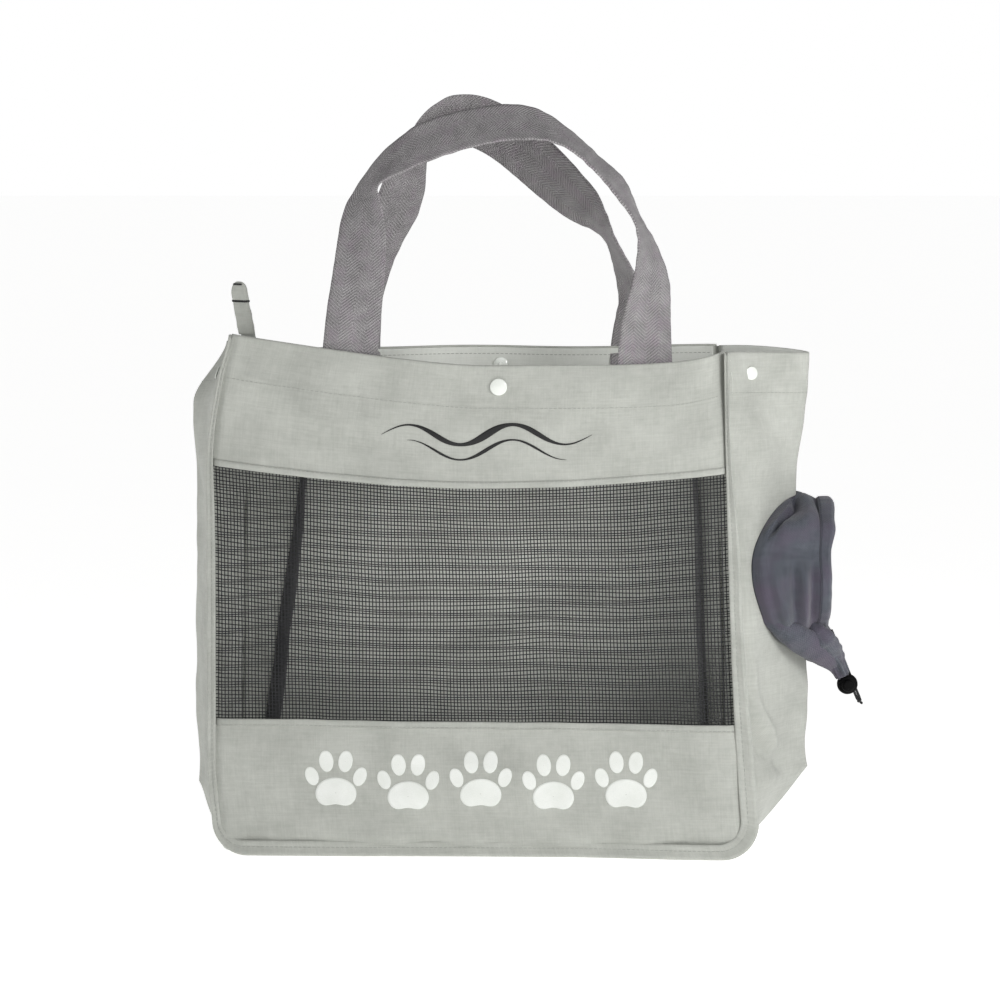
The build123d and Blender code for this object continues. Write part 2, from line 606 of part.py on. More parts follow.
lock_body = rounded_block(LOCK_ALONG, LOCK_ACROSS, lock_back, lock_front)
lock_body = fillet(lock_body.edges().group_by(Axis.Z)[0], LOCK_FLOOR)
lock_body -= rounded_block(bore_along, bore_across, bore_back, lock_front)
lock_body -= cord_passage(-cord_slot, cord_slot)
plunger = rounded_block(plunger_along, plunger_across, plunger_back, lock_front + PLUNGER_STANDS)
plunger = fillet(plunger.edges().group_by(Axis.Z)[-1], LOCK_WALL)
plunger -= cord_passage(-cord_slot, cord_slot + PLUNGER_TRAVEL)
spring_top = bore_back + 2 * SPRING_WIRE
spring = raised_disc(SPRING_RADIUS, bore_back, spring_top)
spring -= raised_disc(SPRING_RADIUS - SPRING_WIRE, bore_back, spring_top)

NODES = {
    "front_top_band": front_top_band,
    "front_mesh_window": front_mesh,
    "front_bottom_band": front_bottom_band,
    "window_hem_top": window_hem_top,
    "window_hem_bottom": window_hem_bottom,
    "rear_panel": rear_panel,
    "left_gusset_front": gussets["left"],
    "left_gusset_rear": rear(gussets["left"]),
    "right_gusset_front": gussets["right"],
    "right_gusset_rear": rear(gussets["right"]),
    "front_seam_ridge": front_ridge,
    "rear_seam_ridge": rear_ridge,
    "base_panel": base_panel,
    "base_board": base_board,
    "front_facing": front_facing,
    "rear_facing": rear_facing,
    "left_facing": side_facings["left"],
    "right_facing": side_facings["right"],
    "front_zip_flap": front_zip_flap,
    "rear_zip_flap": rear(front_zip_flap),
    "front_zip_tape": front_zip_tape,
    "rear_zip_tape": rear(front_zip_tape),
    "front_zip_teeth": front_zip_teeth,
    "rear_zip_teeth": rear(front_zip_teeth),
    "front_zip_stop": front_zip_stop,
    "rear_zip_stop": rear(front_zip_stop),
    "zip_slider": zip_slider,
    "zip_pull": zip_pull,
    "zip_tail": zip_tail,
    "zip_end_tab": zip_end_tab,
    "front_handle": front_handle,
    "rear_handle": rear_handle,
    "front_handle_ends": front_handle_ends,
    "rear_handle_ends": rear_handle_ends,
    "front_snap_cap": front_snap_cap,
    "front_snap_socket": front_snap_socket,
    "rear_snap_cap": rear_snap_cap,
    "rear_snap_stud": rear_snap_stud,
    "left_gusset_stud": side_studs["left"],
    "left_gusset_socket": side_sockets["left"],
    "right_gusset_stud": side_studs["right"],
    "right_gusset_socket": side_sockets["right"],
    "gusset_snap_caps": Compound(side_caps),
    "head_collar": head_collar,
    "collar_hem": collar_hem,
    "hem_cord": hem_cord,
    "front_cord_tail": front_cord_tail,
    "rear_cord_tail": rear_cord_tail,
    "cord_knot": cord_knot,
    "cord_lock_body": lock_plane.location * lock_body,
    "cord_lock_plunger": lock_plane.location * plunger,
    "cord_lock_spring": lock_plane.location * spring,
}

os.makedirs("parts", exist_ok=True)
for name, piece in NODES.items():
    export_step(piece, "parts/" + name + ".step")

print("handle hinge y, z:", round(hinge_point.Y, 3), round(hinge_point.Z, 3))
print("flap hinge y, z:", round(flap_hinge_y, 3), zip_height)
print("pull hinge x, z:", round(bail_x, 3), round(pin_height, 3))
print("lock middle:", lock_middle, "cord direction:", cord_way, "run:", round(cord_run, 2))
print("nodes:", len(NODES))
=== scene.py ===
# %% [markdown]
# # A canvas pet carrier bag
# This is a soft tote with a mesh window, two webbing handles, a zipped top and a drawstring collar in
# one side for the pet's head. Its skeleton, with the exact sizes and the joints, comes packed as a frame
# of named nodes. Everything soft could be shown as those plain nodes, but cloth reads as cloth only when
# it sags, folds and is stitched, so each soft node gets a piece of its own in the same place.

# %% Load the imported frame
from math import cos, hypot, pi, radians, sin
import bpy
import numpy as np
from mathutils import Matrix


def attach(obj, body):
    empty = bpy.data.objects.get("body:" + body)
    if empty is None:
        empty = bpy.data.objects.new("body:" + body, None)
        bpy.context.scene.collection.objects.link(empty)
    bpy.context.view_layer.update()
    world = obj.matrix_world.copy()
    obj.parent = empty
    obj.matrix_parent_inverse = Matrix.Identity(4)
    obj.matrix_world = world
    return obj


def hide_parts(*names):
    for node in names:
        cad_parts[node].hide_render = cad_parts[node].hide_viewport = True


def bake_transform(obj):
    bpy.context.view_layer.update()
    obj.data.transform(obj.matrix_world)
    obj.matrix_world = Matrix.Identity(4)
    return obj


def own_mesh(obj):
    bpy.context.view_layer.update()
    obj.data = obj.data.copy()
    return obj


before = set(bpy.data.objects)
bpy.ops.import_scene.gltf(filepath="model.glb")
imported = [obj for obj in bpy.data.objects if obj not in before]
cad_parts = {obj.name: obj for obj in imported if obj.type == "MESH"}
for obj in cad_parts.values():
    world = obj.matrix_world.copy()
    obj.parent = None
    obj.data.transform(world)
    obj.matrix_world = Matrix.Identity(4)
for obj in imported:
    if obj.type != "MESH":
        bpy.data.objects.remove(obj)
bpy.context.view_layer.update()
MM = 0.001                 # every length below is in millimetres until a mesh is made
link_object = bpy.context.scene.collection.objects.link
print("frame nodes:", len(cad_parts))

# %% [markdown]
# ## Camera
# A long lens from a little above, almost square to the front, keeps the sides of the bag parallel as a
# catalogue picture does. A short lens would be simpler to frame but swells the near edge.

# %% Camera
LOOK_AT, LENS = (0.01459, 0.0, 0.2514), 106.68
turn, rise, away = radians(1.0), radians(6.0), 2.2
backwards = np.array([sin(turn) * cos(rise), -cos(turn) * cos(rise), sin(rise)])
camera = bpy.data.objects.new("camera", bpy.data.cameras.new("camera"))
camera.data.lens = LENS
camera.location = LOOK_AT + away * backwards
camera.rotation_euler = (pi / 2 - rise, 0.0, turn)
link_object(camera)
bpy.context.scene.camera = camera
print("camera at", [round(float(c), 3) for c in camera.location])

# %% [markdown]
# ## Drawcord tails
# The drawcord leaves the collar's hem as two tails that run through the cord lock to one knot. Each is
# limp and short, so a curve of one smooth spline with a round bevel is the honest way to make it. The
# control points repeat the route in the frame, with the middle ones let out a little, as slack cord lies.

# %% Drawcord tails
cord_start = np.array([260.0, 0.0, 154.2])
CORD_RUN, CORD_DIAMETER, CORD_APART = hypot(22.0, 51.0), 2.0, 1.4
cord_way = np.array([22.0, 0.0, -51.0]) / CORD_RUN
cord_across = np.array([51.0, 0.0, 22.0]) / CORD_RUN


def cord_curve(name, offset, slack):
    """A round cord on one quadratic NURBS spline: start, two points let out by slack, and end."""
    route = [(0.0, 1.0, 0.0), (0.30, 1.2, slack), (0.62, 0.8, -slack), (1.0, 0.72, 0.0)]
    curve = bpy.data.curves.new(name, "CURVE")
    curve.dimensions = "3D"
    spline = curve.splines.new("NURBS")
    spline.points.add(len(route) - 1)
    for point, (share, spread, out) in zip(spline.points, route):
        place = cord_start + cord_way * CORD_RUN * share + cord_across * offset * spread + [0.0, out, 0.0]
        point.co = (*place * MM, 1.0)
    spline.order_u, spline.use_endpoint_u = 3, True
    curve.bevel_depth, curve.bevel_resolution = CORD_DIAMETER / 2 * MM, 4
    curve.resolution_u = 16
    piece = bpy.data.objects.new(name, curve)
    link_object(piece)
    return piece


drawcord_front = cord_curve("drawcord_front", -CORD_APART, 0.5)
drawcord_rear = cord_curve("drawcord_rear", CORD_APART, -0.5)
print("drawcord tails:", round(CORD_RUN, 1), "mm each")

# %% [markdown]
# ## Light
# Product pictures of pale cloth are taken on a light table: the floor glows, the room is dimmer, and one
# soft panel rakes across from the right so that folds show. Lighting everything from all round would be
# simpler but would flatten the folds. The camera sees the room as plain white.

# %% Room and panels
ROOM_STRENGTH, WHITE = 0.34, (1.0, 1.0, 1.0, 1.0)
world = bpy.data.worlds.new("studio")
bpy.context.scene.world = world
bpy.context.scene.view_settings.view_transform = "Standard"
world.use_nodes = True
room_nodes, room_link = world.node_tree.nodes, world.node_tree.links.new
lit_room = room_nodes["Background"]
lit_room.inputs["Strength"].default_value = ROOM_STRENGTH
seen_room = room_nodes.new("ShaderNodeBackground")
for room in (lit_room, seen_room):
    room.inputs["Color"].default_value = WHITE
seen_or_lit = room_nodes.new("ShaderNodeMixShader")
room_link(room_nodes.new("ShaderNodeLightPath").outputs["Is Camera Ray"], seen_or_lit.inputs[0])
room_link(lit_room.outputs[0], seen_or_lit.inputs[1])
room_link(seen_room.outputs[0], seen_or_lit.inputs[2])
room_link(seen_or_lit.outputs[0], room_nodes["World Output"].inputs["Surface"])


def light_panel(name, place, aim, wide, tall, watts):
    """An area light at place, turned to face aim, that the camera doesn't see."""
    lamp = bpy.data.objects.new(name, bpy.data.lights.new(name, "AREA"))
    lamp.data.shape, lamp.data.size, lamp.data.size_y, lamp.data.energy = "RECTANGLE", wide, tall, watts
    lamp.location = place
    way = np.array(aim) - place
    flat = hypot(way[0], way[1])
    lamp.rotation_euler = (np.arctan2(flat, -way[2]), 0.0, np.arctan2(way[1], way[0]) - pi / 2)
    lamp.visible_camera = False
    link_object(lamp)


for panel in (("key_light", (0.66, -0.75, 0.55), (0.05, 0.0, 0.22), 0.42, 0.42, 5.0),
              ("fill_light", (-1.5, -0.55, 0.5), (0.0, 0.0, 0.22), 0.9, 0.9, 4.0),
              ("through_mesh", (0.0, -0.052, 0.18), (0.0, 0.1, 0.18), 0.28, 0.16, 0.16),
              ("into_opening", (0.015, -0.030, 0.400), (0.015, 0.055, 0.345), 0.15, 0.03, 0.034)):
    light_panel(*panel)
print("lights placed")

# %% [markdown]
# ## Small tools for surfaces
# Cloth is worked out as grids of points: numpy arrays of rows, columns and (x, y, z) in millimetres.
# A grid is easy to bend, ripple and cut with whole-array sums, and the same grid later tells where the
# stitches lie. The helpers below ease, ripple and thicken such grids.

# %% Ease, hump and ripples
def ease(low, high, x):
    """0 below low, 1 above high, and 3t^2 - 2t^3 at the share t between them."""
    t = np.clip((x - low) / (high - low), 0.0, 1.0)
    return t * t * (3.0 - 2.0 * t)


def between(a, b, t):
    """a + (b - a) t."""
    return a + (b - a) * t


def rows_between(low, high, count):
    """Rows of values from one line of them to another."""
    return between(low, high, np.linspace(0.0, 1.0, count)[:, None])


def hump(x, centre, width):
    """exp(-((x - centre) / width)^2): 1 at the centre, near 0 two widths away."""
    return np.exp(-(((x - centre) / width) ** 2))


def along_segment(x, z, x0, z0, x1, z1):
    """The share run along a segment and the distance off it, positive on its right."""
    length = hypot(x1 - x0, z1 - z0)
    run = ((x - x0) * (x1 - x0) + (z - z0) * (z1 - z0)) / length ** 2
    return run, ((x - x0) * (z1 - z0) - (z - z0) * (x1 - x0)) / length


def creases(x, z, *rows):
    """Soft folds, each (height, x0, z0, x1, z1, width): humps across segments that fade at the ends."""
    total = 0.0
    for height, *segment, width in rows:
        run, off = along_segment(x, z, *segment)
        total = total + height * hump(off, 0.0, width) * ease(-0.15, 0.25, run) * (1.0 - ease(0.7, 1.15, run))
    return total


def humps(x, z, *rows):
    """Soft bumps, each (height, x, width in x, z, width in z)."""
    return sum(height * hump(x, x0, wide) * hump(z, z0, tall) for height, x0, wide, z0, tall in rows)


def ripples(seed, shortest, longest, count=9):
    """An uneven field: the sum of count sine waves in seeded directions, over the root of count."""
    rng = np.random.default_rng(seed)
    angle, phase = rng.uniform(0.0, 2 * pi, (2, count))
    rate = 2 * pi / rng.uniform(shortest, longest, count)

    def field(p, q):
        p, q = np.broadcast_arrays(np.asarray(p, float), np.asarray(q, float))
        run = p[..., None] * np.cos(angle) + q[..., None] * np.sin(angle)
        return np.sin(run * rate + phase).sum(-1) / count ** 0.5
    return field


def circle(count):
    """Angles at even steps round a full turn."""
    return np.linspace(0.0, 2 * pi, count, endpoint=False)


def squared(wave, power):
    """A sine or cosine with its size raised to a power: below 1 it squares off a circle."""
    return np.sign(wave) * np.abs(wave) ** power


def spread(*parts):
    """Coordinates of any matching shapes as one array of points."""
    return np.stack(np.broadcast_arrays(*parts), -1)


def chord_runs(path):
    """Distance run along a path at each of its points."""
    return np.r_[0.0, np.cumsum(np.linalg.norm(np.diff(path, axis=0), axis=1))]


def smooth_run(stations, samples, reach):
    """Points along a run of stations: straight shares by chord, then a bell-shaped running mean."""
    stations = np.asarray(stations, float)
    chord = chord_runs(stations[:, :3])
    at = np.linspace(0.0, chord[-1], samples)
    run = np.stack([np.interp(at, chord, column) for column in stations.T], 1)
    bell = hump(np.arange(-reach, reach + 1), 0.0, reach / 2.0)
    padded = np.concatenate([2 * run[0] - run[reach:0:-1], run, 2 * run[-1] - run[-2:-reach - 2:-1]])
    return np.stack([np.convolve(column, bell / bell.sum(), "valid") for column in padded.T], 1)


# %% Grids into meshes
def grid_faces(rows, columns, close_rows=False, close_columns=False):
    """Quads between neighbours of a grid; a closed direction joins its last line to its first."""
    i, j = np.meshgrid(np.arange(rows - (not close_rows)), np.arange(columns - (not close_columns)),
                       indexing="ij")
    below, beside = (i + 1) % rows, (j + 1) % columns
    quads = [i * columns + j, i * columns + beside, below * columns + beside, below * columns + j]
    return np.stack(quads, -1).reshape(-1, 4)


def unit(vectors):
    """Vectors over their lengths."""
    return vectors / (np.linalg.norm(vectors, axis=-1, keepdims=True) + 1e-12)


def outward(grid, close_columns=False):
    """Unit normals: the way across the columns, crossed with the way along the rows."""
    across = (np.roll(grid, -1, 1) - np.roll(grid, 1, 1)) / 2 if close_columns else np.gradient(grid, axis=1)
    return unit(np.cross(across, np.gradient(grid, axis=0)))


def cloth_lengths(grid):
    """Two maps in mm: distance run across each row, and distance run along the columns on average."""
    across, along = [np.r_[0.0, np.cumsum(np.linalg.norm(np.diff(grid, axis=axis), axis=2).mean(1 - axis))]
                     for axis in (1, 0)]
    return spread(across[None, :], along[:, None])


made = []


def mesh_piece(name, points, faces, material, uv=None, smooth=True):
    """Points in mm and faces into a mesh object at the origin, with the cloth's own lengths as UV map."""
    mesh = bpy.data.meshes.new(name)
    points, faces = np.asarray(points, float).reshape(-1, 3), np.asarray(faces, np.int32)
    mesh.vertices.add(len(points))
    mesh.vertices.foreach_set("co", (points * MM).ravel())
    mesh.loops.add(faces.size)
    mesh.loops.foreach_set("vertex_index", faces.ravel())
    mesh.polygons.add(len(faces))
    mesh.polygons.foreach_set("loop_start", np.arange(0, faces.size, faces.shape[1], dtype=np.int32))
    mesh.polygons.foreach_set("use_smooth", np.full(len(faces), smooth))
    mesh.update(calc_edges=True)
    if uv is not None:
        layer = mesh.uv_layers.new(name="cloth")
        layer.data.foreach_set("uv", np.asarray(uv, float).reshape(-1, 2)[faces.ravel()].ravel())
    mesh.materials.append(material)
    made.append(bpy.data.objects.new(name, mesh))
    link_object(made[-1])
    return made[-1]


def ring_piece(name, rings, material, lengths=False, loop=False):
    """Rings as one piece, joined end to end where loop, with the cloth's lengths where wanted."""
    return mesh_piece(name, rings, grid_faces(*rings.shape[:2], loop, True), material,
                      cloth_lengths(rings) if lengths else None)


def cloth(name, grid, thickness, material, close_columns=False, uv=None):
    """A sewn cloth: the grid is its outer face, the inner face lies a thickness behind it, and a rim
    closes each open edge."""
    rows, columns = grid.shape[:2]
    inner = grid - outward(grid, close_columns) * thickness
    uv = cloth_lengths(grid) if uv is None else uv
    count = rows * columns
    outer_faces = grid_faces(rows, columns, False, close_columns)
    faces = [outer_faces, outer_faces[:, ::-1] + count]
    index = np.arange(count).reshape(rows, columns)
    rims = [index[0], index[-1][::-1], index[:, 0][::-1], index[:, -1]]
    if close_columns:
        rims = [np.append(index[0], index[0, 0]), np.append(index[-1], index[-1, 0])[::-1]]
    for rim in rims:
        faces.append(np.stack([rim[1:], rim[:-1], rim[:-1] + count, rim[1:] + count], 1))
    return mesh_piece(name, np.concatenate([grid.reshape(-1, 3), inner.reshape(-1, 3)]),
                      np.concatenate(faces), material, np.concatenate([uv.reshape(-1, 2)] * 2))


def tube(path, radii, normal, flat=1.0, sides=10):
    """Rings of points round a path: radii across the path, times flat along the normal."""
    path = np.asarray(path, float)
    way = unit(np.gradient(path, axis=0))
    side = unit(np.cross(way, normal))
    up, angle = np.cross(side, way), circle(sides)[None, :, None]
    ring = side[:, None] * np.cos(angle) + up[:, None] * np.sin(angle) * flat
    return path[:, None] + ring * np.broadcast_to(radii, len(path))[:, None, None]


def loop_tube(path, radius, normal):
    """Rings round a path that closes on itself, without the doubled ring at the join."""
    return tube(np.concatenate([path[-1:], path, path[:1]]), radius, normal)[1:-1]


def capped(rings, start=(0.05,), end=(0.05,)):
    """Rings closed at both ends by copies drawn in to shares of their size, listed from the start on."""
    drawn = [[between(ring.mean(0), ring, share)[None] for share in shares]
             for ring, shares in ((rings[0], start), (rings[-1], end))]
    return np.concatenate([*drawn[0], rings, *drawn[1]])


def joined(parts, closed=True):
    """Several grids (rings, points, 3), their columns closed or not, as one set of points and faces."""
    points, faces, shift = [], [], 0
    for part in parts:
        points.append(part.reshape(-1, 3))
        faces.append(grid_faces(*part.shape[:2], close_columns=closed) + shift)
        shift += points[-1].shape[0]
    return np.concatenate(points), np.concatenate(faces)


# %% [markdown]
# ## Repeated small things
# Stitches, zip teeth and mesh threads repeat by the hundred. Instancing objects would keep the file
# small but leaves the export with thousands of pieces, so each kind is one low template multiplied into
# place by its local axes, as one array product.

# %% Repeats along a line
def repeated(template, faces, centres, way, side, up):
    """Template points (k, 3) in local (way, side, up) axes, put at each centre: centre + t . axes."""
    axes = np.stack(np.broadcast_arrays(way, side, up), 1)
    points = centres[:, None] + np.einsum("ka,nab->nkb", template, axes)
    shift = np.arange(len(centres))[:, None, None] * len(template)
    return points.reshape(-1, 3), (faces[None] + shift).reshape(-1, faces.shape[1])


def grain(length, width):
    """A rounded grain: six rings of six points, whose size follows a half circle."""
    at = np.array([-0.5, -0.42, -0.2, 0.2, 0.42, 0.5])
    size = np.array([0.12, 0.62, 1.0, 1.0, 0.62, 0.12])
    ring = spread(0.0, np.cos(circle(6)) * width / 2, np.sin(circle(6)) * width / 2)
    points = ring[None] * size[:, None, None] + spread(at * length, 0.0, 0.0)[:, None]
    return points.reshape(-1, 3), grid_faces(6, 6, close_columns=True)


seams = {}


def sew(seam, path, normal, pitch=3.4, length=2.7, width=0.55, lift=0.1):
    """Adds a row of stitches to a seam: grains at even steps along the path, half sunk in the cloth."""
    run = chord_runs(path)
    at = np.arange(pitch / 2, run[-1] - pitch / 3, pitch)
    low = np.clip(np.searchsorted(run, at) - 1, 0, len(path) - 2)
    share = ((at - run[low]) / (run[low + 1] - run[low]))[:, None]
    normal = np.broadcast_to(normal, path.shape)
    way = unit(path[low + 1] - path[low])
    up = unit(between(normal[low], normal[low + 1], share))
    side = unit(np.cross(up, way))
    centres = between(path[low], path[low + 1], share) + up * lift
    points, quads = repeated(*grain(length, width), centres, way, side, np.cross(way, side))
    rows = seams.setdefault(seam, [])
    rows.append((points, quads + sum(len(row[0]) for row in rows)))


def sewn(seam, material):
    """The seam's rows of stitches as one piece."""
    points, quads = zip(*seams[seam])
    return mesh_piece(seam, np.concatenate(points), np.concatenate(quads), material)


print("surface tools ready")

# %% [markdown]
# ## Finishes
# A material is built from a few numbers that vary over the cloth. Writing them as Python expressions is
# shorter than drawing nodes: a small class wraps a socket, and each operator adds one Math node.

# %% A value that varies over a surface
class Value:
    """A socket with arithmetic: a + b and a * b add Math nodes to its tree."""

    def __init__(self, finish, socket):
        self.finish, self.socket = finish, socket

    def math(self, operation, *values):
        return self.finish.add("ShaderNodeMath", {"operation": operation}, dict(enumerate(values)))

    def __add__(self, other):
        return self.math("ADD", self, other)

    def __mul__(self, other):
        return self.math("MULTIPLY", self, other)

    def wave(self, period):
        """sin(2 pi a / period)."""
        return self.math("SINE", self * (2 * pi / period))


# %% A finish and its nodes
class Finish:
    """A material with one Principled shader. add() makes any other node."""

    def __init__(self, name, **uniform):
        self.material = bpy.data.materials.new(name)
        self.material.use_nodes = True
        self.tree = self.material.node_tree
        self.shader = self.tree.nodes["Principled BSDF"]
        for socket, value in uniform.items():
            self.shader.inputs[socket.replace("_", " ")].default_value = value

    def add(self, kind, settings, inputs, output=0):
        """A node of a kind: settings first, then values or links."""
        node = self.tree.nodes.new(kind)
        for key, value in settings.items():
            setattr(node, key, value)
        for key, value in inputs.items():
            if isinstance(value, Value):
                self.tree.links.new(value.socket, node.inputs[key])
            else:
                node.inputs[key].default_value = value
        return Value(self, node.outputs[output])

    def feed(self, socket, value):
        """Links a varying value to a socket of the shader."""
        self.tree.links.new(value.socket, self.shader.inputs[socket])

    def cloth_axes(self):
        """The two directions of the cloth's own UV map, in mm."""
        place = self.add("ShaderNodeUVMap", {"uv_map": "cloth"}, {})
        split = self.add("ShaderNodeSeparateXYZ", {}, {0: place})
        return split, Value(self, split.socket.node.outputs[1])

    def point(self, x, y, z=0.0):
        """Three values as one vector."""
        return self.add("ShaderNodeCombineXYZ", {}, {0: x, 1: y, 2: z})

    def noise(self, place, scale, detail=2.0, roughness=0.5):
        """Cloudy values from 0 to 1, one cloud to 1 / scale of the place's unit."""
        inputs = {"Vector": place, "Scale": scale, "Detail": detail, "Roughness": roughness}
        return self.add("ShaderNodeTexNoise", {}, inputs)

    def ramp(self, value, low, high):
        """0 below low to 1 above high, straight between."""
        inputs = {"Value": value, "From Min": low, "From Max": high}
        return self.add("ShaderNodeMapRange", {"clamp": True}, inputs)

    def blend_colours(self, share, first, second):
        """The first colour where share is 0 and the second where it is 1."""
        return self.add("ShaderNodeMix", {"data_type": "RGBA"}, {0: share, 6: first, 7: second}, 2)

    def relief(self, height, distance):
        """Bumps of a distance in metres for a height from 0 to 1, on the shader's normal."""
        inputs = {"Height": height, "Distance": distance, "Strength": 1.0}
        self.feed("Normal", self.add("ShaderNodeBump", {}, inputs))


def paint(*display):
    """Display values 0 to 255 as linear colour: ((c + 0.055) / 1.055)^2.4 above the dark end."""
    share = np.array(display) / 255.0
    linear = np.where(share > 0.04045, ((share + 0.055) / 1.055) ** 2.4, share / 12.92)
    return (*[float(c) for c in linear], 1.0)


# %% [markdown]
# ## Canvas
# The shell is a stiff plain-woven cotton canvas, pale grey with a touch of green. Its weave is finer
# than a millimetre, so from where the camera stands it shows as faint slubs, thread irregularities that
# run with the warp and the weft. The finish draws both: slubs and soft shade in the colour, and a fine
# over-and-under weave in the relief for close views.

# %% Canvas finish
def woven_finish(name, dark, light, pitch, slub, relief, roughness, sheen, tint=None):
    """Plain weave on the cloth's own axes: slubs along both threads, cloudy shade, and crossing waves.
    tint is a second hue that drifts over the cloth in patches."""
    finish = Finish(name, Roughness=roughness, Sheen_Weight=sheen, Sheen_Roughness=0.6)
    across, along = finish.cloth_axes()
    long_slubs = finish.noise(finish.point(across * 0.9, along * 0.045), slub, 3.0, 0.6)
    cross_slubs = finish.noise(finish.point(across * 0.045, along * 0.9, 7.0), slub, 3.0, 0.6)
    clouds = finish.noise(finish.point(across, along, 3.0), 0.022, 3.0)
    grime = finish.noise(finish.point(across, along, 9.0), 0.18, 4.0, 0.7)
    weave = across.wave(2 * pitch) * along.wave(2 * pitch)
    tone = long_slubs * 0.22 + cross_slubs * 0.22 + clouds * 0.42 + grime * 0.22 + weave * 0.06
    body = finish.blend_colours(finish.ramp(tone, 0.36, 0.74), paint(*dark), paint(*light))
    if tint:
        patches = finish.noise(finish.point(across, along, 5.0), 0.045)
        body = finish.blend_colours(finish.ramp(patches, 0.4, 0.65) * 0.6, body, paint(*tint))
    finish.feed("Base Color", body)
    finish.feed("Roughness", finish.ramp(weave + long_slubs, -0.6, 1.6) * 0.14 + (roughness - 0.07))
    finish.relief(weave * 0.30 + long_slubs * 0.5 + cross_slubs * 0.5 + grime * 0.9, relief)
    return finish.material


# The last two rows are painted shade: a dark and a grey cloth for the strips that stand in for the shadowed
# inner rear corners.
canvas, inner_canvas, collar_cloth, corner_shade_dark, corner_shade_grey = [woven_finish(*row) for row in (
    ("grey_canvas", (160, 162, 155), (197, 199, 192), 0.45, 1.1, 0.00024, 0.86, 0.1),
    ("inner_canvas", (208, 210, 204), (228, 230, 224), 0.45, 1.1, 0.0002, 0.88, 0.1),
    ("collar_cloth", (34, 38, 48), (92, 97, 107), 0.95, 1.4, 0.0004, 0.8, 0.2, (76, 62, 82)),
    ("painted_corner_shade_dark", (24, 25, 25), (38, 39, 39), 0.5, 1.2, 0.0002, 0.85, 0.2),
    ("painted_corner_shade_grey", (84, 85, 84), (104, 105, 104), 0.5, 1.2, 0.0002, 0.85, 0.2))]
print("woven finishes:", canvas.name, inner_canvas.name, collar_cloth.name, corner_shade_dark.name)

# %% [markdown]
# ## Webbing, zip tape, thread and hard trim
# Webbing is a herringbone twill: fine ribs across the strap whose slant turns over every few
# millimetres. The zip tape is the same idea, finer. Moulded and metal pieces take their small unevenness
# from noise on Object coordinates.

# %% Webbing finish
def twill_finish(name, dark, light, rib, band, relief, sheen, tint):
    """Herringbone: ribs across the strap, whose slant changes sign from one band to the next."""
    finish = Finish(name, Roughness=0.8, Sheen_Weight=sheen, Sheen_Roughness=0.5)
    across, along = finish.cloth_axes()
    fold = across.math("PINGPONG", across, band)
    ribs = (along + fold * 0.8).wave(rib)
    cords = across.wave(1.1)
    worn = finish.noise(finish.point(across, along, 2.0), 0.07, 3.0)
    speckle = finish.noise(finish.point(across * 1.2, along * 1.2, 5.0), 1.3, 2.0, 0.7)
    tone = ribs * 0.10 + cords * 0.05 + worn * 0.45 + speckle * 0.45
    body = finish.blend_colours(finish.ramp(tone, 0.2, 0.72), paint(*dark), paint(*light))
    hue = finish.ramp(finish.noise(finish.point(across, along, 4.0), 0.12), 0.45, 0.75)
    finish.feed("Base Color", finish.blend_colours(hue * 0.45, body, paint(*tint)))
    finish.relief(ribs * 0.5 + cords * 0.2 + speckle * 0.5, relief)
    return finish.material


webbing, zip_tape = [twill_finish(*row) for row in (
    ("webbing", (112, 109, 110), (180, 177, 178), 2.4, 10.0, 0.0006, 0.15, (146, 130, 144)),
    ("zip_tape", (150, 152, 147), (176, 178, 172), 0.9, 2.0, 0.00015, 0.2, (166, 168, 162)))]


# %% Moulded, metal and thread finishes
def hard_finish(name, colour, shade, roughness, relief, grain_scale, **uniform):
    """A solid trim: slight cloudiness of colour and roughness, and a fine uneven surface."""
    finish = Finish(name, **uniform)
    place = finish.add("ShaderNodeTexCoord", {}, {}, "Object")
    clouds, fine = finish.noise(place, 60.0, 3.0), finish.noise(place, grain_scale, 3.0, 0.65)
    share = finish.ramp(clouds * 0.6 + fine * 0.4, 0.35, 0.7)
    finish.feed("Base Color", finish.blend_colours(share, paint(*shade), paint(*colour)))
    finish.feed("Roughness", fine * 0.16 + (roughness - 0.08))
    finish.relief(fine, relief)
    return finish.material


hard_rows = [
    ("mesh_thread", (60, 60, 62), (44, 44, 47), 0.6, 0.00005, 2600.0, {"Specular_IOR_Level": 0.25}),
    ("snap_enamel", (238, 241, 235), (226, 230, 223), 0.22, 0.00002, 900.0,
     {"Coat_Weight": 0.6, "Coat_Roughness": 0.1}),
    ("lock_moulding", (5, 5, 6), (2, 2, 3), 0.65, 0.00004, 1500.0, {"Specular_IOR_Level": 0.12}),
    ("drawcord_braid", (24, 24, 27), (9, 9, 11), 0.75, 0.00012, 1900.0, {"Sheen_Weight": 0.3}),
    ("zip_metal", (196, 197, 199), (164, 166, 170), 0.28, 0.00002, 700.0, {"Metallic": 1.0}),
    ("spring_wire", (182, 184, 188), (150, 152, 158), 0.3, 0.00001, 1400.0, {"Metallic": 1.0}),
    ("zip_teeth", (158, 160, 157), (134, 137, 134), 0.42, 0.00002, 1800.0, {}),
    ("seam_thread", (172, 174, 168), (148, 150, 144), 0.7, 0.00006, 4200.0, {"Sheen_Weight": 0.4}),
    ("collar_thread", (70, 73, 84), (52, 55, 64), 0.7, 0.00005, 4200.0, {}),
    ("board_cover", (120, 122, 120), (96, 98, 97), 0.7, 0.0002, 420.0, {}),
    ("white_print", (236, 238, 234), (222, 225, 219), 0.55, 0.00006, 1300.0, {}),
    ("black_print", (20, 20, 21), (9, 9, 10), 0.5, 0.00005, 1300.0, {})]
(mesh_thread, snap_white, lock_black, cord_black, bright_metal, spring_metal, teeth_grey, seam_thread,
 collar_thread, board_cover, white_print, black_print) = [
    hard_finish(*row, **uniform) for *row, uniform in hard_rows]
print("finishes:", len(bpy.data.materials))

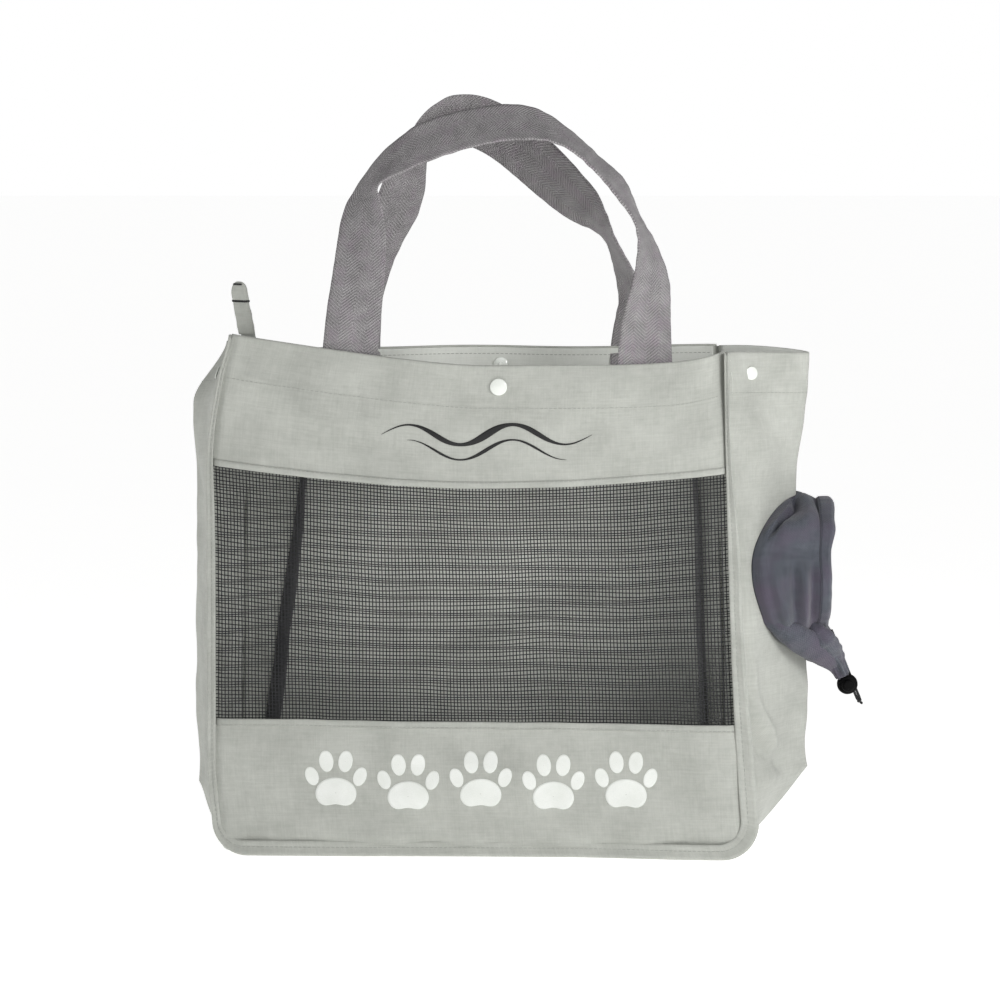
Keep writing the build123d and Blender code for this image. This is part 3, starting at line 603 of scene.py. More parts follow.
# %% [markdown]
# ## The front panel as one surface
# Three cloths make the front: a canvas band at the top, a mesh window and a canvas band at the bottom.
# Cutting them from three separate flat plates would leave steps and a stiff look, so one function gives
# the whole leaning, softly rippled face, and each cloth takes its own range of heights from it.

# %% Edges of the front panel
HEIGHT = 364.0             # floor to the top edge at the sides
RIDGE_SIDE, RIDGE_RIGHT, RIDGE_BASE = 6.5, 5.0, 11.0
UNDER_RIDGE = 1.2          # how far a panel's cloth runs in under the ridge
wide_sway, fine_sway, rear_sway, soft_sway = [
    ripples(*row) for row in ((3, 80, 210), (5, 24, 60), (11, 70, 200), (7, 42, 95))]
ahead = np.array([[0.0, -1.0, 0.0]])


def face_depth(z):
    """Middle plane to the panel's outer face: 80 at the floor, leaning in to 56 at the top."""
    return 80.0 - 24.0 * z / HEIGHT


def left_edge(z):
    """Outer edge of the left ridge: it bows out from the floor and draws in near the top."""
    return -(191.5 + 5.0 * ease(0.0, 70.0, z) - 15.5 * ease(280.0, 400.0, z) - 2.6 * ease(348.0, 376.0, z))


def right_edge(z):
    """Outer edge of the right ridge: splayed at the floor, leaning in fast at first and then less."""
    return 197.0 - 15.0 * (1.0 - np.exp(-np.maximum(z, 0.0) / 200.0)) / (1.0 - np.exp(-HEIGHT / 200.0))


def rear_edge(z):
    """Outer edge of the rear ridges."""
    return 192.0 - 11.0 * z / HEIGHT


def inner_left(z):
    """Inner edge of the left ridge: the ridge is narrow at the top corner and full width lower down."""
    return left_edge(z) + RIDGE_SIDE - 2.8 * ease(215.0, 340.0, z)


def inner_right(z):
    """Inner edge of the right ridge."""
    return right_edge(z) - RIDGE_RIGHT


def front_x(s, z, tuck=0.0):
    """x on the front panel at a share s from -1 to 1, with both ends tucked under the ridges."""
    return between(inner_left(z) - tuck, inner_right(z) + tuck, (s + 1.0) / 2.0)


def top_edge(s):
    """Height of the top edge at a share s from -1 (left) to 1 (right): a long fall from the left corner
    and a short rise to the right one."""
    return 353.5 + np.where(s < 0, 22.3 * np.abs(s) ** 1.3, 9.5 * np.abs(s) ** 6)


def window_top(s):
    """Height of the window's upper edge, a shallow arc."""
    return 265.8 - 2.9 * s + 13.8 * np.abs(s) ** 1.7


def window_low(s):
    """Height of the window's lower edge."""
    return 97.8 - 1.8 * s


def curl(x, z):
    """The top right corner turns back: the square of the share past x = 140, over the upper third."""
    return 14.0 * np.clip((x - 140.0) / 45.0, 0.0, 1.0) ** 2 * ease(230.0, 364.0, z)


def kick(x, z):
    """The lower right corner stands forward: a hump over the corner."""
    return 9.0 * hump(x, 170.0, 75.0) * hump(z, 0.0, 75.0)


def front_point(x, z, back=0.0):
    """A point of the front face, or of a layer that lies back behind it: lean, sway, soft creases, the
    valley beside each ridge and the curled corner."""
    x, z = np.broadcast_arrays(np.asarray(x, float), np.asarray(z, float))
    at_left, at_right = x - inner_left(z), inner_right(z) - x
    loose = ease(0.0, 16.0, np.minimum(at_left, at_right))
    sway = 1.3 * wide_sway(x, z) + (0.3 + 0.95 * loose) * soft_sway(x, z) + 0.18 * fine_sway(x, z)
    sway = sway + creases(
        x, z, (2.4, -176, 356, -96, 300, 9), (-2.0, 150, 352, 96, 322, 10), (-1.5, -88, 346, -84, 316, 4),
        (1.5, -150, 300, -60, 284, 8), (2.0, -178, 92, -150, 20, 7), (-2.0, 178, 30, 120, 84, 9),
        (1.8, -60, 80, 30, 60, 9), (-1.6, 60, 88, 150, 66, 8))
    sway = sway + 1.6 * hump(z, 372, 14) * np.cos(x / 34.0)
    sway = sway + humps(x, z, (2.2, 0, 150, 40, 60), (-4.0, 0, 130, 188, 70))
    opened = ease(262.0, 362.0, z)
    valley = 2.2 * hump(at_left, 0, 3.0) + (2.6 + 4.2 * opened) * hump(at_right, -0.5, 3.0 + 3.5 * opened)
    valley = valley + 1.2 * hump(z, RIDGE_BASE - 1.0, 3.0)
    return np.stack([x, -face_depth(z) - sway - kick(x, z) + valley + curl(x, z) + back, z], -1)


def front_grid(low, high, rows):
    """A cloth of the front panel between two edges given as heights along the share s."""
    s = np.linspace(-1.0, 1.0, 240)[None, :]
    z = rows_between(low(s), high(s), rows)
    return front_point(front_x(s, z, UNDER_RIDGE), z)


def rolled(grid, inwards):
    """The cloth with its top row rolled over by half a turn, on a radius inwards along y."""
    angle = np.linspace(0.0, pi, 7)[1:, None]
    x, y, z = grid[-1].T
    return np.concatenate([grid, spread(x, y + inwards * (1 - np.cos(angle)),
                                        z + abs(inwards) * np.sin(angle))])


# %% [markdown]
# ## Canvas bands and their hems
# The top band rolls over the top edge, as a faced edge does. Along the window each band ends in a narrow
# folded hem, sewn down with one row of stitches a few millimetres from the edge.

# %% Canvas bands
CLOTH, ROLL = 1.4, 1.5     # the cloth's thickness and the radius of a rolled edge
HEM, HEM_PROUD = 5.2, 0.7  # width and height of a folded hem
PANEL_FOOT = 8.0           # where the panels' cloth ends, under the ridge at the floor
top_band = cloth("top_band", rolled(front_grid(window_top, top_edge, 78), ROLL), CLOTH, canvas)
bottom_band = cloth("bottom_band", front_grid(lambda s: PANEL_FOOT + 0 * s, window_low, 64), CLOTH, canvas)


def hem_strip(name, edge, up):
    """A folded hem along an edge of the window: its section rises proud at once and falls away softly."""
    s = np.linspace(-1.0, 1.0, 240)[None, :]
    share = np.array([0.0, 0.0, 0.12, 0.45, 0.8, 1.0])[:, None]
    raised = np.array([-1.2, 0.3, 0.85, 1.0, 0.9, 0.05])[:, None] * HEM_PROUD
    z = edge(s) + up * HEM * share
    grid = front_point(front_x(s, z), z)
    grid[..., 1] -= raised
    sew("window_stitches", grid[4], ahead)
    return cloth(name, grid if up > 0 else grid[::-1], 0.6, canvas)


hem_top, hem_low = hem_strip("window_hem_upper", window_top, 1), hem_strip("window_hem_lower", window_low, -1)
window_stitches = sewn("window_stitches", seam_thread)
print("bands:", len(top_band.data.polygons), "+", len(bottom_band.data.polygons), "faces")

# %% [markdown]
# ## Mesh window
# The window is a coarse open mesh of black coated threads. A see-through texture on a plane would be
# light, but it has no thickness at a glancing angle and no relief. Here every thread is real: warp and
# weft are flattened tubes whose depth follows a cosine, so each passes over one neighbour and under the
# next.

# %% Mesh threads
PITCH_X, PITCH_Z, HALF_THREAD, HALF_DEEP = 2.4, 2.3, 0.37, 0.24
MESH_BEHIND, MESH_OVER, MESH_TUCK = 2.6, 6.0, 2.0      # behind the bands, past their hems, into the ridges
mesh_sway = ripples(21, 90, 240)


def threads(name, count, crossings, upright):
    """One direction of the mesh as four-sided tubes: depth = amplitude cos(pi (i + j)) at crossing j of
    thread i, with the opposite sign for the other direction."""
    steps = 2 * crossings + 1
    i, j = np.meshgrid((np.arange(count) + 0.5) / count, np.arange(steps) / (2.0 * crossings), indexing="ij")
    share_x, share_z = (i, j) if upright else (j, i)
    s = 2.0 * share_x - 1.0
    z = between(window_low(s) - MESH_OVER, window_top(s) + MESH_OVER, share_z)
    bands = np.sin(2 * pi * z / 12.0 + 1.8 * mesh_sway(s * 120.0, z))
    z = z + (1.1 * mesh_sway(s * 180.0, z) + 0.85 * bands) * np.sin(pi * share_z) ** 0.5
    x = front_x(s, z, MESH_TUCK)
    x = x + 0.7 * mesh_sway(z + 300.0, x) * np.sin(pi * share_x)
    step = np.arange(count)[:, None] + np.arange(steps)[None, :] / 2.0
    depth = (HALF_DEEP if upright else -HALF_DEEP) * np.cos(pi * step)
    side = HALF_THREAD * np.array([1.0, 0.0, 0.0] if upright else [0.0, 0.07, 1.0])
    over = HALF_DEEP * ahead[0]
    points = front_point(x, z, MESH_BEHIND + depth)[:, :, None] + np.array([side, over, -side, -over])
    quads = grid_faces(steps, 4, close_columns=True)[:, ::-1 if upright else 1]
    shift = np.arange(count)[:, None, None] * steps * 4
    return mesh_piece(name, points, (quads[None] + shift).reshape(-1, 4), mesh_thread)


UPRIGHTS, LEVELS = int(372 / PITCH_X), int(184 / PITCH_Z)
mesh_warp = threads("mesh_uprights", UPRIGHTS, LEVELS, True)
mesh_weft = threads("mesh_levels", LEVELS, UPRIGHTS, False)
print("mesh:", UPRIGHTS, "upright and", LEVELS, "level threads")

# %% [markdown]
# ## Seam ridges
# Front panel and gussets meet in a pinched ridge, topstitched through both cloths, that runs down one
# side, round the lower corners and up the other. A bevelled curve would give it a round section; here
# a flattened section, thinner under the stitches, is carried along the seam.

# %% Ridge paths
CORNER = 26.0
STITCHED_AT, STITCH_PROUD = 0.40, 1.32     # share across the ridge, and height over its middle


def ridge_line(left, right, low, radius, top_left, top_right):
    """A U-shaped line: down one side, a quarter circle, the floor, a quarter circle, up the other side."""
    quarter = np.linspace(0.0, pi / 2, 14)[1:-1]
    turn_x, turn_z = radius * np.cos(quarter), low + radius - radius * np.sin(quarter)
    z_left, z_right = np.linspace((top_left, low + radius), (low + radius, top_right), 90).T
    a, b = left(low + radius) + radius, right(low + radius) - radius
    floor_x = np.linspace(a, b, 130)
    return np.concatenate([np.stack(part, 1) for part in (
        (left(z_left), z_left), (a - turn_x, turn_z), (floor_x, low + 0 * floor_x),
        (b + turn_x[::-1], turn_z[::-1]), (right(z_right), z_right))])


def ridge(name, outer, inner, tops, depth_at, facing):
    """Section across the ridge: w = half + half cos, thickness 2 sin, pinched by a hump at the stitches.
    outer and inner are its side edges; facing is -1 for the front and 1 for the rear."""
    outer = ridge_line(*outer, 0.0, CORNER, *tops)
    inner = ridge_line(*inner, RIDGE_BASE, CORNER - 9.0, *tops)
    angle = circle(20)
    across = 0.5 + 0.5 * squared(np.cos(angle), 0.7)
    thick = 2.0 * np.sin(angle) * (1.0 + 1.3 * ease(0.5, 0.9, across))
    thick = thick * (1.0 - 0.45 * hump(across, STITCHED_AT, 0.16))

    def lifted(flat, lift):
        x, z = flat[..., 0], flat[..., 1]
        return np.stack([x, facing * (depth_at(x, z) - 0.5 + 0.5 * wide_sway(x + 50, z) + lift), z], -1)

    rings = capped(lifted(between(inner[:, None], outer[:, None], across[None, :, None]), thick[None]),
                   (0.02, 0.6), (0.6, 0.02))
    for side in (-1.0, 1.0):
        path = lifted(between(inner, outer, STITCHED_AT), side * STITCH_PROUD)
        sew(name + "_stitches", path[6:-6], ahead * -facing * side)
    return ring_piece(name, rings[:, ::-1] if facing > 0 else rings, canvas, True)


def lean_out(z):
    """How far the right ridge's crest leans out over the gusset: most near the floor."""
    return 8.0 - 4.0 * ease(40.0, 190.0, z) - 5.4 * ease(205.0, 310.0, z)


front_ridge = ridge(
    "front_ridge", (left_edge, lambda z: right_edge(z) + lean_out(z)), (inner_left, inner_right),
    (376.6, 363.5), lambda x, z: face_depth(z) - curl(x, z) + kick(x, z), -1.0)
rear_ridge = ridge(
    "rear_ridge", (lambda z: -rear_edge(z), rear_edge),
    (lambda z: RIDGE_SIDE - rear_edge(z), lambda z: rear_edge(z) - RIDGE_RIGHT),
    (364.0, 363.0), lambda x, z: face_depth(z), 1.0)
front_ridge_stitches = sewn("front_ridge_stitches", seam_thread)
rear_ridge_stitches = sewn("rear_ridge_stitches", seam_thread)
print("ridges:", len(front_ridge.data.polygons), "faces each")

# %% [markdown]
# ## Rear panel, facings and base
# The rear panel is one canvas, plain and a little slack. Behind both top edges lies a facing, a second
# layer whose lower edge is sewn through, so its stitch line shows on the outside. The floor is canvas
# too, with a loose stiff board on it, covered in cloth.

# %% Rear panel
def rear_point(x, z, inside=0.0):
    """A point of the rear face, or of a layer that lies inside it."""
    x, z = np.broadcast_arrays(np.asarray(x, float), np.asarray(z, float))
    sway = 1.6 * rear_sway(x, z) + 0.2 * fine_sway(x + 90, z)
    sway = sway + creases(x, z, (8.0, -60, 104, 86, 168, 13), (8.0, 70, 170, 168, 140, 13),
                          (-5.0, -140, 250, -20, 226, 14), (5.0, 20, 236, 150, 214, 12))
    valley = 1.7 * hump(rear_edge(z) - RIDGE_SIDE - np.abs(x), 0, 3.0)
    return np.stack([x, face_depth(z) + sway - valley - inside, z], -1)


def rear_x(s, z, inset=RIDGE_SIDE):
    """x on the rear panel at a share s from -1 to 1."""
    return s * (rear_edge(z) - inset)


def rear_top(s):
    """Height of the rear top edge, almost level."""
    return 361.6 + 1.0 * s + 0.7 * np.cos(6.0 * s + 0.5)


s_rear = np.linspace(1.0, -1.0, 200)[None, :]
z_rear = rows_between(PANEL_FOOT + 0 * s_rear, rear_top(s_rear), 150)
rear_grid = rear_point(rear_x(s_rear, z_rear, RIDGE_RIGHT - UNDER_RIDGE), z_rear)
rear_cloth = cloth("rear_cloth", rolled(rear_grid, -ROLL), CLOTH, canvas)


# %% Facings
FACING, LINING_IN, SIDE_LINING_IN = 34.0, 3.2, 3.4
FRONT_SEWN, REAR_SEWN, SIDE_SEWN = 29.5, 32.6, 29.6    # the stitch line below each top edge


def facing_piece(name, edge, point, x_at, order):
    """The second layer inside a top edge, its face towards the inside of the bag."""
    s = np.linspace(-1.0, 1.0, 200)[None, :] * order
    z = rows_between(edge(s) - FACING, edge(s) - 0.2, 26)
    return cloth(name, point(x_at(s, z), z, LINING_IN), 1.2, inner_canvas)


front_lining = facing_piece("front_lining", top_edge, front_point, front_x, -1.0)
rear_lining = facing_piece("rear_lining", rear_top, rear_point, rear_x, 1.0)
s_line = np.linspace(-0.985, 0.985, 300)
z_line, z_back = top_edge(s_line) - FRONT_SEWN, rear_top(s_line) - REAR_SEWN
for line, way in ((front_point(front_x(s_line, z_line), z_line), ahead),
                  (rear_point(rear_x(s_line, z_back), z_back), -ahead),
                  (rear_point(rear_x(s_line, z_back), rear_top(s_line) - 5.0, LINING_IN), ahead)):
    sew("facing_stitches", line, way, width=0.5, lift=0.05)
facing_stitches = sewn("facing_stitches", seam_thread)


# %% Base cloth and board
BASE_X, BASE_Y = 190.0, 76.0
base_share, base_y = np.meshgrid(np.linspace(-1, 1, 120), np.linspace(BASE_Y, -BASE_Y, 60))
base_x = base_share * (BASE_X - CORNER * (np.abs(base_y) / BASE_Y) ** 6)
base_z = np.maximum(0.25 + 0.35 * (1 + wide_sway(base_x, base_y + 500) / 2), 0.05)
base_cloth = cloth("base_cloth", spread(base_x, base_y, base_z), 1.3, canvas)
BOARD_X, BOARD_Y, BOARD_CORNER = 184.3, 72.4, 14.0
board_levels = [(0.01, 0, 2.1), (0.5, 0, 2.1), (0.97, 0, 2.1), (1, 0.9, 2.1), (1, 0.15, 2.9), (1, 0, 4.0),
                (1, 0.15, 5.1), (1, 0.9, 5.9), (0.97, 0, 5.95), (0.5, 0, 6.0), (0.01, 0, 6.0)]
swing = spread(np.cos(circle(96) + pi / 96), np.sin(circle(96) + pi / 96))
core = np.sign(swing) * [BOARD_X - BOARD_CORNER, BOARD_Y - BOARD_CORNER]
stiff_board = ring_piece("stiff_board", np.array([
    np.c_[core * scale + swing * (BOARD_CORNER - inset) * scale, np.full(96, z)]
    for scale, inset, z in board_levels]), board_cover, True)
print("rear, facings, base and board made")

# %% [markdown]
# ## Gussets
# Each side is a folded gusset: a cloth between the two ridges with a soft crease down its middle that
# stands out beyond them and runs back to the floor at the knee. The right one has the hole for the
# collar. A boolean would leave ragged shading round the hole, so its grid runs in rings from the hole's
# oval outwards to the gusset's own outline.

# %% Gusset surfaces
side_sway, side_fine, side_soft = ripples(31, 60, 170), ripples(33, 20, 48), ripples(35, 34, 80)
FOLD_SOFT, SEAM_IN = 0.05, 3.0     # rounding of the crease as a share; seams lie behind the panels' faces
FOOT_X, RIGHT_KNEE, LEFT_KNEE = 191.0, 52.0, 39.5


def right_fold(z):
    """x of the right crease: 45 degrees out from the floor to the knee, then in and out again."""
    upper = 243.6 - 9.0 * ease(110.0, 265.0, z) + 7.1 * ease(262.0, 372.0, z)
    foot = 7.0 * ease(0.0, 14.0, z) * (1.0 - ease(24.0, 76.0, z))
    return np.where(z < RIGHT_KNEE, FOOT_X + 52.6 * z / RIGHT_KNEE, upper) + foot


def left_fold(z):
    """The left crease, from the middle outwards: it is pinched in at the top."""
    upper = 212.8 - 1.6 * ease(60.0, 300.0, z) - 24.7 * ease(322.0, 372.0, z)
    return np.where(z < LEFT_KNEE, FOOT_X + 21.5 * z / LEFT_KNEE, upper)


def gusset_point(a, z, right=True, inside=0.0):
    """A point of a gusset at a share a from -1, the front seam, over 0, the crease, to 1, the rear seam:
    x runs from crease to seam with the softened size of a, and sags between."""
    a, z = np.broadcast_arrays(np.asarray(a, float), np.asarray(z, float))
    size = np.abs(a)
    front_at = (right_edge(z) if right else -left_edge(z)) - 2.0
    seam_x = np.where(a < 0, front_at, rear_edge(z) - 1.0)
    forward = kick(front_at, z) - curl(front_at, z) if right else 0.0
    y = size * np.where(a < 0, SEAM_IN - face_depth(z) - forward, face_depth(z) - SEAM_IN)
    share = (np.hypot(a, FOLD_SOFT) - FOLD_SOFT) / (hypot(1.0, FOLD_SOFT) - FOLD_SOFT)
    sway = 1.8 * side_sway(y, z) + 0.25 * side_fine(y, z) + 1.2 * side_soft(y, z)
    sway = sway * ease(0.0, 0.18, 1.0 - size)
    under = (1.0 - ease(190.0, 300.0, z)) * (a < 0) * right
    sway = sway - (2.4 + 2.2 * under) * hump(size, 0.95 - 0.10 * under, 0.03 + 0.015 * under)
    sway = sway - 3.0 * np.sin(pi * size) * np.clip(1.0 - size, 0.0, 1.0) * ease(0.0, 60.0, z)
    if right:
        sway = sway + creases(y, z, (6.0, -66, 120, -34, 62, 7), (-6.0, -70, 92, -16, 48, 8),
                              (4.4, -58, 146, -44, 60, 6), (-3.4, 62, 110, 20, 50, 9),
                              (2.4, -30, 270, -40, 352, 9), (-2.2, -12, 268, -18, 340, 8))
    else:
        sway = sway + creases(y, z, (2.0, -50, 300, -12, 352, 9), (1.8, 52, 300, 12, 350, 9))
    corner = CORNER - np.sqrt(np.maximum(CORNER ** 2 - np.maximum(CORNER - z, 0.0) ** 2, 0.0))
    x = between(right_fold(z) if right else left_fold(z), seam_x, share) + sway * ease(0, 25, z) - inside
    x = x - corner * size ** 6
    return np.stack([x if right else -x, y, z], -1)


def gusset_top(a, right=True):
    """Height of a gusset's top edge from its front corner over the crease to the rear corner."""
    front, middle = (364.0, 361.2) if right else (374.5, 369.0)
    rear = between(middle, 363.4, np.abs(a)) + 2.2 * np.sin(pi * np.clip(a, 0.0, 1.0)) ** 0.7
    return np.where(a < 0, between(middle, front, np.abs(a)), rear)


# %% Right gusset, ringed round the collar's hole
HOLE_Y, HOLE_Z, HOLE_MIDDLE = 48.0, 63.0, 195.0
HALF_WIDE, HALF_TALL = 88.0, 182.0         # the gusset's cloth either way from its middle
SIDE_STEPS, EDGE_STEPS = 110, 56


def around(turn, middle, width):
    """A hump on a circle of turns: exp(2 (cos(turn - middle) - 1) / width^2)."""
    return np.exp(2.0 * (np.cos(turn - middle) - 1.0) / width ** 2)


def hole_place(turn):
    """Share a and height z of the collar's hole: an oval, drawn in where the cloth is pinched."""
    size = 1.0 - 0.12 * around(turn, 2.12, 0.48) - 0.13 * around(turn, 4.35, 0.6)
    z = HOLE_MIDDLE + HOLE_Z * size * np.sin(turn)
    return HOLE_Y * size * np.cos(turn) / (face_depth(z) - SEAM_IN), z


up_side = np.linspace(0, 1, SIDE_STEPS, endpoint=False)
flat_side = np.linspace(1, -1, EDGE_STEPS, endpoint=False)
outline_a = np.r_[1 + 0 * up_side, flat_side, -1 + 0 * up_side, -flat_side]
outline_z = np.r_[gusset_top(1.0) * (1 - up_side), 0 * flat_side, gusset_top(-1.0) * up_side,
                  gusset_top(-flat_side)]
hole_a, hole_z = hole_place(np.arctan2((outline_z - HOLE_MIDDLE) / HALF_TALL, outline_a))
outwards = (np.linspace(0, 1, 64) ** 1.1)[:, None]
ring_a, ring_z = between(hole_a, outline_a, outwards), between(hole_z, outline_z, outwards)
right_gusset = cloth("right_gusset", gusset_point(ring_a, ring_z), CLOTH, canvas, close_columns=True,
                     uv=spread(ring_a * HALF_WIDE, ring_z))

# %% Left gusset and the linings of both
a_left = np.linspace(1, -1, 90)[None, :]
z_left = rows_between(0.0 * a_left, gusset_top(a_left, False), 150)
left_gusset = cloth("left_gusset", gusset_point(a_left, z_left, False), CLOTH, canvas)


def side_lining(name, right):
    """The facing inside a gusset's top edge."""
    a = np.linspace(0.92, -0.92, 80)[None, :] * (1 if right else -1)
    top = gusset_top(a, right)
    z = rows_between(top - FACING, top - 0.2, 22)
    return cloth(name, gusset_point(a, z, right, SIDE_LINING_IN), 1.1, inner_canvas)


right_lining, left_lining = side_lining("right_lining", True), side_lining("left_lining", False)
a_line = np.linspace(-0.97, 0.97, 220)
for right in (True, False):
    sew("side_stitches", gusset_point(a_line, gusset_top(a_line, right) - SIDE_SEWN, right),
        np.array([[1.0 if right else -1.0, 0.0, 0.0]]), width=0.5, lift=0.08)
side_stitches = sewn("side_stitches", seam_thread)
print("gussets:", len(right_gusset.data.polygons), "and", len(left_gusset.data.polygons), "faces")

# %% [markdown]
# ## Painted corner shade
# The inner rear corners fall in shadow, and through the mesh each shows as a dark upright fold. A dark
# strip on the left and a grey one on the right stand there as painted shade.

# %% Painted corner shade
def corner_shade_strip(name, x_low, x_high, width_low, width_high, finish):
    """A soft folded strip of painted shade standing up the inside, on a line through (x_low, z = 90) and
    (x_high, z = 264).
    """
    z = np.linspace(14.0, 322.0, 90)[:, None]
    share = np.linspace(-1.0, 1.0, 13)[None, :]
    middle = between(x_low, x_high, (z - 90.0) / 174.0) + 0.6 * side_sway(z * 1.3, 0 * z)
    width = between(width_low, width_high, ease(120.0, 280.0, z))
    width = width * (1.0 + 0.12 * side_sway(z * 1.1 + 40, 0 * z))
    y = face_depth(z) - 3.2 - 5.0 * np.cos(share * pi / 2) ** 0.8
    return cloth(name, spread(middle + share * width / 2.0, y, z), 0.8, finish)


# Painted shade: a dark strip near the left rear corner and a grey one near the right.
left_shade_strip = corner_shade_strip("left_corner_shade_strip", -159.5, -136.0, 12.0, 5.0, corner_shade_dark)
right_shade_strip = corner_shade_strip("right_corner_shade_strip", 170.0, 162.0, 7.0, 4.0, corner_shade_grey)
print("corner_shade_strips made")

# %% [markdown]
# ## Webbing handles
# Each handle is one 40 mm strap sewn flat inside the top edge. On its way up it twists: its width turns
# towards the line of sight at the shoulders and leans back over the crown. Bending a straight strap with
# modifiers gives no hold on that twist, so the strap is a ribbon between two edges: a middle line of
# stations, each with the part of its width that shows, and the rest of the 40 mm in depth.

# %% Handles
STRAP, STRAP_THICK, STRAP_PROUD = 40.0, 1.7, 0.8
STRAP_INSIDE = 5.9         # from the panel's face in to the stitches on the strap's sewn end


def strap(name, stations, deep):
    """Stations (x, y, z, shown width in x, shown width in z), smoothed; width vector = shown part, with
    the missing length along y: sqrt(40^2 - shown^2), towards deep."""
    run = smooth_run(stations, 260, 9)
    shown = run[:, 3:]
    shown = shown * np.minimum(1.0, (STRAP - 0.01) / np.linalg.norm(shown, axis=1, keepdims=True))
    depth = deep * np.sqrt(np.maximum(STRAP ** 2 - (shown ** 2).sum(1), 0.0))
    wide = np.stack([shown[:, 0], depth, shown[:, 1]], 1)
    share = np.linspace(-0.5, 0.5, 17)
    grid = run[:, None, :3] + wide[:, None] * share[None, :, None]
    camber = 0.5 * (1 - (2 * share) ** 2) + 0.25 * fine_sway(run[:, 0] * 3, run[:, 2] * 3)[:, None]
    return cloth(name, grid + outward(grid) * (camber + STRAP_PROUD)[..., None], STRAP_THICK, webbing)


front_strap = strap("front_strap", [
    (-93, -53.6, 333, -40, 0), (-93, -52.4, 350, -40, 0), (-93, -50.6, 364, -40, 0),
    (-90, -49.5, 392, -40, 0), (-86, -46, 425, -38, 0), (-84, -42, 450, -35, -1),
    (-84, -37, 470, -28, -2), (-79, -31, 488, -8, 9), (-66, -27, 500, -5, 21), (-43, -23, 514, -5, 28),
    (-13, -20, 524, -2, 28), (15, -19, 529, 2, 27), (38, -20, 529, 3, 24), (54, -21, 523.5, 5, 15),
    (67, -22, 515.5, 6, 9), (84, -25, 501, 7, 6), (101.5, -29, 483.5, 11, 7), (115, -34, 459, 3, 3),
    (122, -39, 441, 13, 2), (125, -44, 415, 27, 0), (121, -46.5, 389, 35, 0), (120, -48.5, 366, 38.5, 0),
    (120, -52.4, 352, 40, 0), (120, -53.6, 333, 40, 0)], 1.0)
rear_strap = strap("rear_strap", [
    (-96, 53.6, 333, -40, 0), (-96.5, 52.4, 350, -40, 0), (-97, 50.8, 364, -40, 0),
    (-94, 49, 398, -36, -3), (-82, 44, 433, -34, 1), (-64, 38, 463, -34, -2), (-57, 34, 486, -29, 8),
    (-49, 30, 509, -14, 12), (-38, 26, 526, -4, 26), (-22, 23, 533, 2, 36), (-6, 21, 532, 10, 36),
    (9, 20, 526, 12, 36), (27, 21, 514, 18, 34), (52, 24, 491, 25, 25), (76, 28, 468, 22, 19),
    (88, 31, 456, 12, 7), (96, 35, 446, 3, 4), (106, 39, 422, 11, 2), (116, 45, 398, 22, 1),
    (117, 47.5, 376, 35, 0), (117, 50.4, 362, 40, 0), (117, 52.4, 350, 40, 0), (117, 53.6, 333, 40, 0)], -1.0)
print("straps:", len(front_strap.data.polygons), "faces each")


# %% Box stitching on the sewn ends
def box_stitches(centre_x, facing):
    """A rectangle with its diagonals, sewn through the strap's end inside the bag."""
    corners = np.array([[-15, 335], [15, 335], [15, 349], [-15, 349], [-15, 335], [15, 349], [-15, 349],
                        [15, 335]], float)
    for start, end in zip(corners[:-1], corners[1:]):
        x, z = between(start, end, np.linspace(0, 1, 24)[:, None]).T
        line = spread(x + centre_x, facing * (face_depth(z) - STRAP_INSIDE), z)
        sew("strap_stitches", line, ahead * facing, pitch=3.0, length=2.3)


for centre_x in (-93.0, 118.5):
    box_stitches(centre_x, -1.0)
    box_stitches(centre_x, 1.0)
strap_stitches = sewn("strap_stitches", collar_thread)

# %% [markdown]
# ## Zipped closure
# Under the top edge two canvas flaps meet at a zip. Each flap swings on its sewn edge. The tape and its teeth
# run on to the left, past the flaps, to a tail that stands up behind the corner.

# %% Flaps and tapes
ZIP_Z, TEETH_Z, TEETH_STEP = 330.0, 328.6, 2.4
FLAP_LEFT, TAPE_LEFT, ZIP_RIGHT, STOP_X = -140.0, -164.0, 165.0, 157.5
FLAP_SEAM, FLAP_EDGE, TAPE_HIDDEN, TAPE_EDGE = 53.0, 9.0, 16.0, 2.8        # all as |y|
FLAP_SEWN = 38             # the row of a flap's grid, of 44, that is sewn down
flap_sway = ripples(41, 50, 140)
upwards = np.array([[0.0, 0.0, 1.0]])


def flap_piece(name, sign):
    """A flap from its seam to its folded edge, sagging between by half a wave."""
    x, share = np.meshgrid(np.linspace(FLAP_LEFT, ZIP_RIGHT, 150), np.linspace(0, 1, 44))
    y_size = between(FLAP_SEAM, FLAP_EDGE, share)
    z = ZIP_Z + 0.9 + (0.7 * flap_sway(x, y_size) - 1.4) * np.sin(pi * share) + 0.7 * hump(y_size, 10.5, 1.6)
    grid = spread(x, sign * y_size, z)
    piece = cloth(name, grid if sign < 0 else grid[::-1], 1.4, canvas)
    sew(name + "_stitches", grid[FLAP_SEWN], upwards)
    return piece, sewn(name + "_stitches", seam_thread)


def tape_piece(name, sign):
    """Half of the zip tape, from under the flap to a corded edge beside the teeth."""
    x, share = np.meshgrid(np.linspace(TAPE_LEFT, ZIP_RIGHT, 170), np.linspace(0, 1, 15))
    y_size = between(TAPE_HIDDEN, TAPE_EDGE, share)
    grid = spread(x, sign * y_size, 328.7 + 0.15 * flap_sway(x * 2, y_size) + 0.35 * hump(share, 0.93, 0.06))
    return cloth(name, grid if sign < 0 else grid[::-1], 0.7, zip_tape)


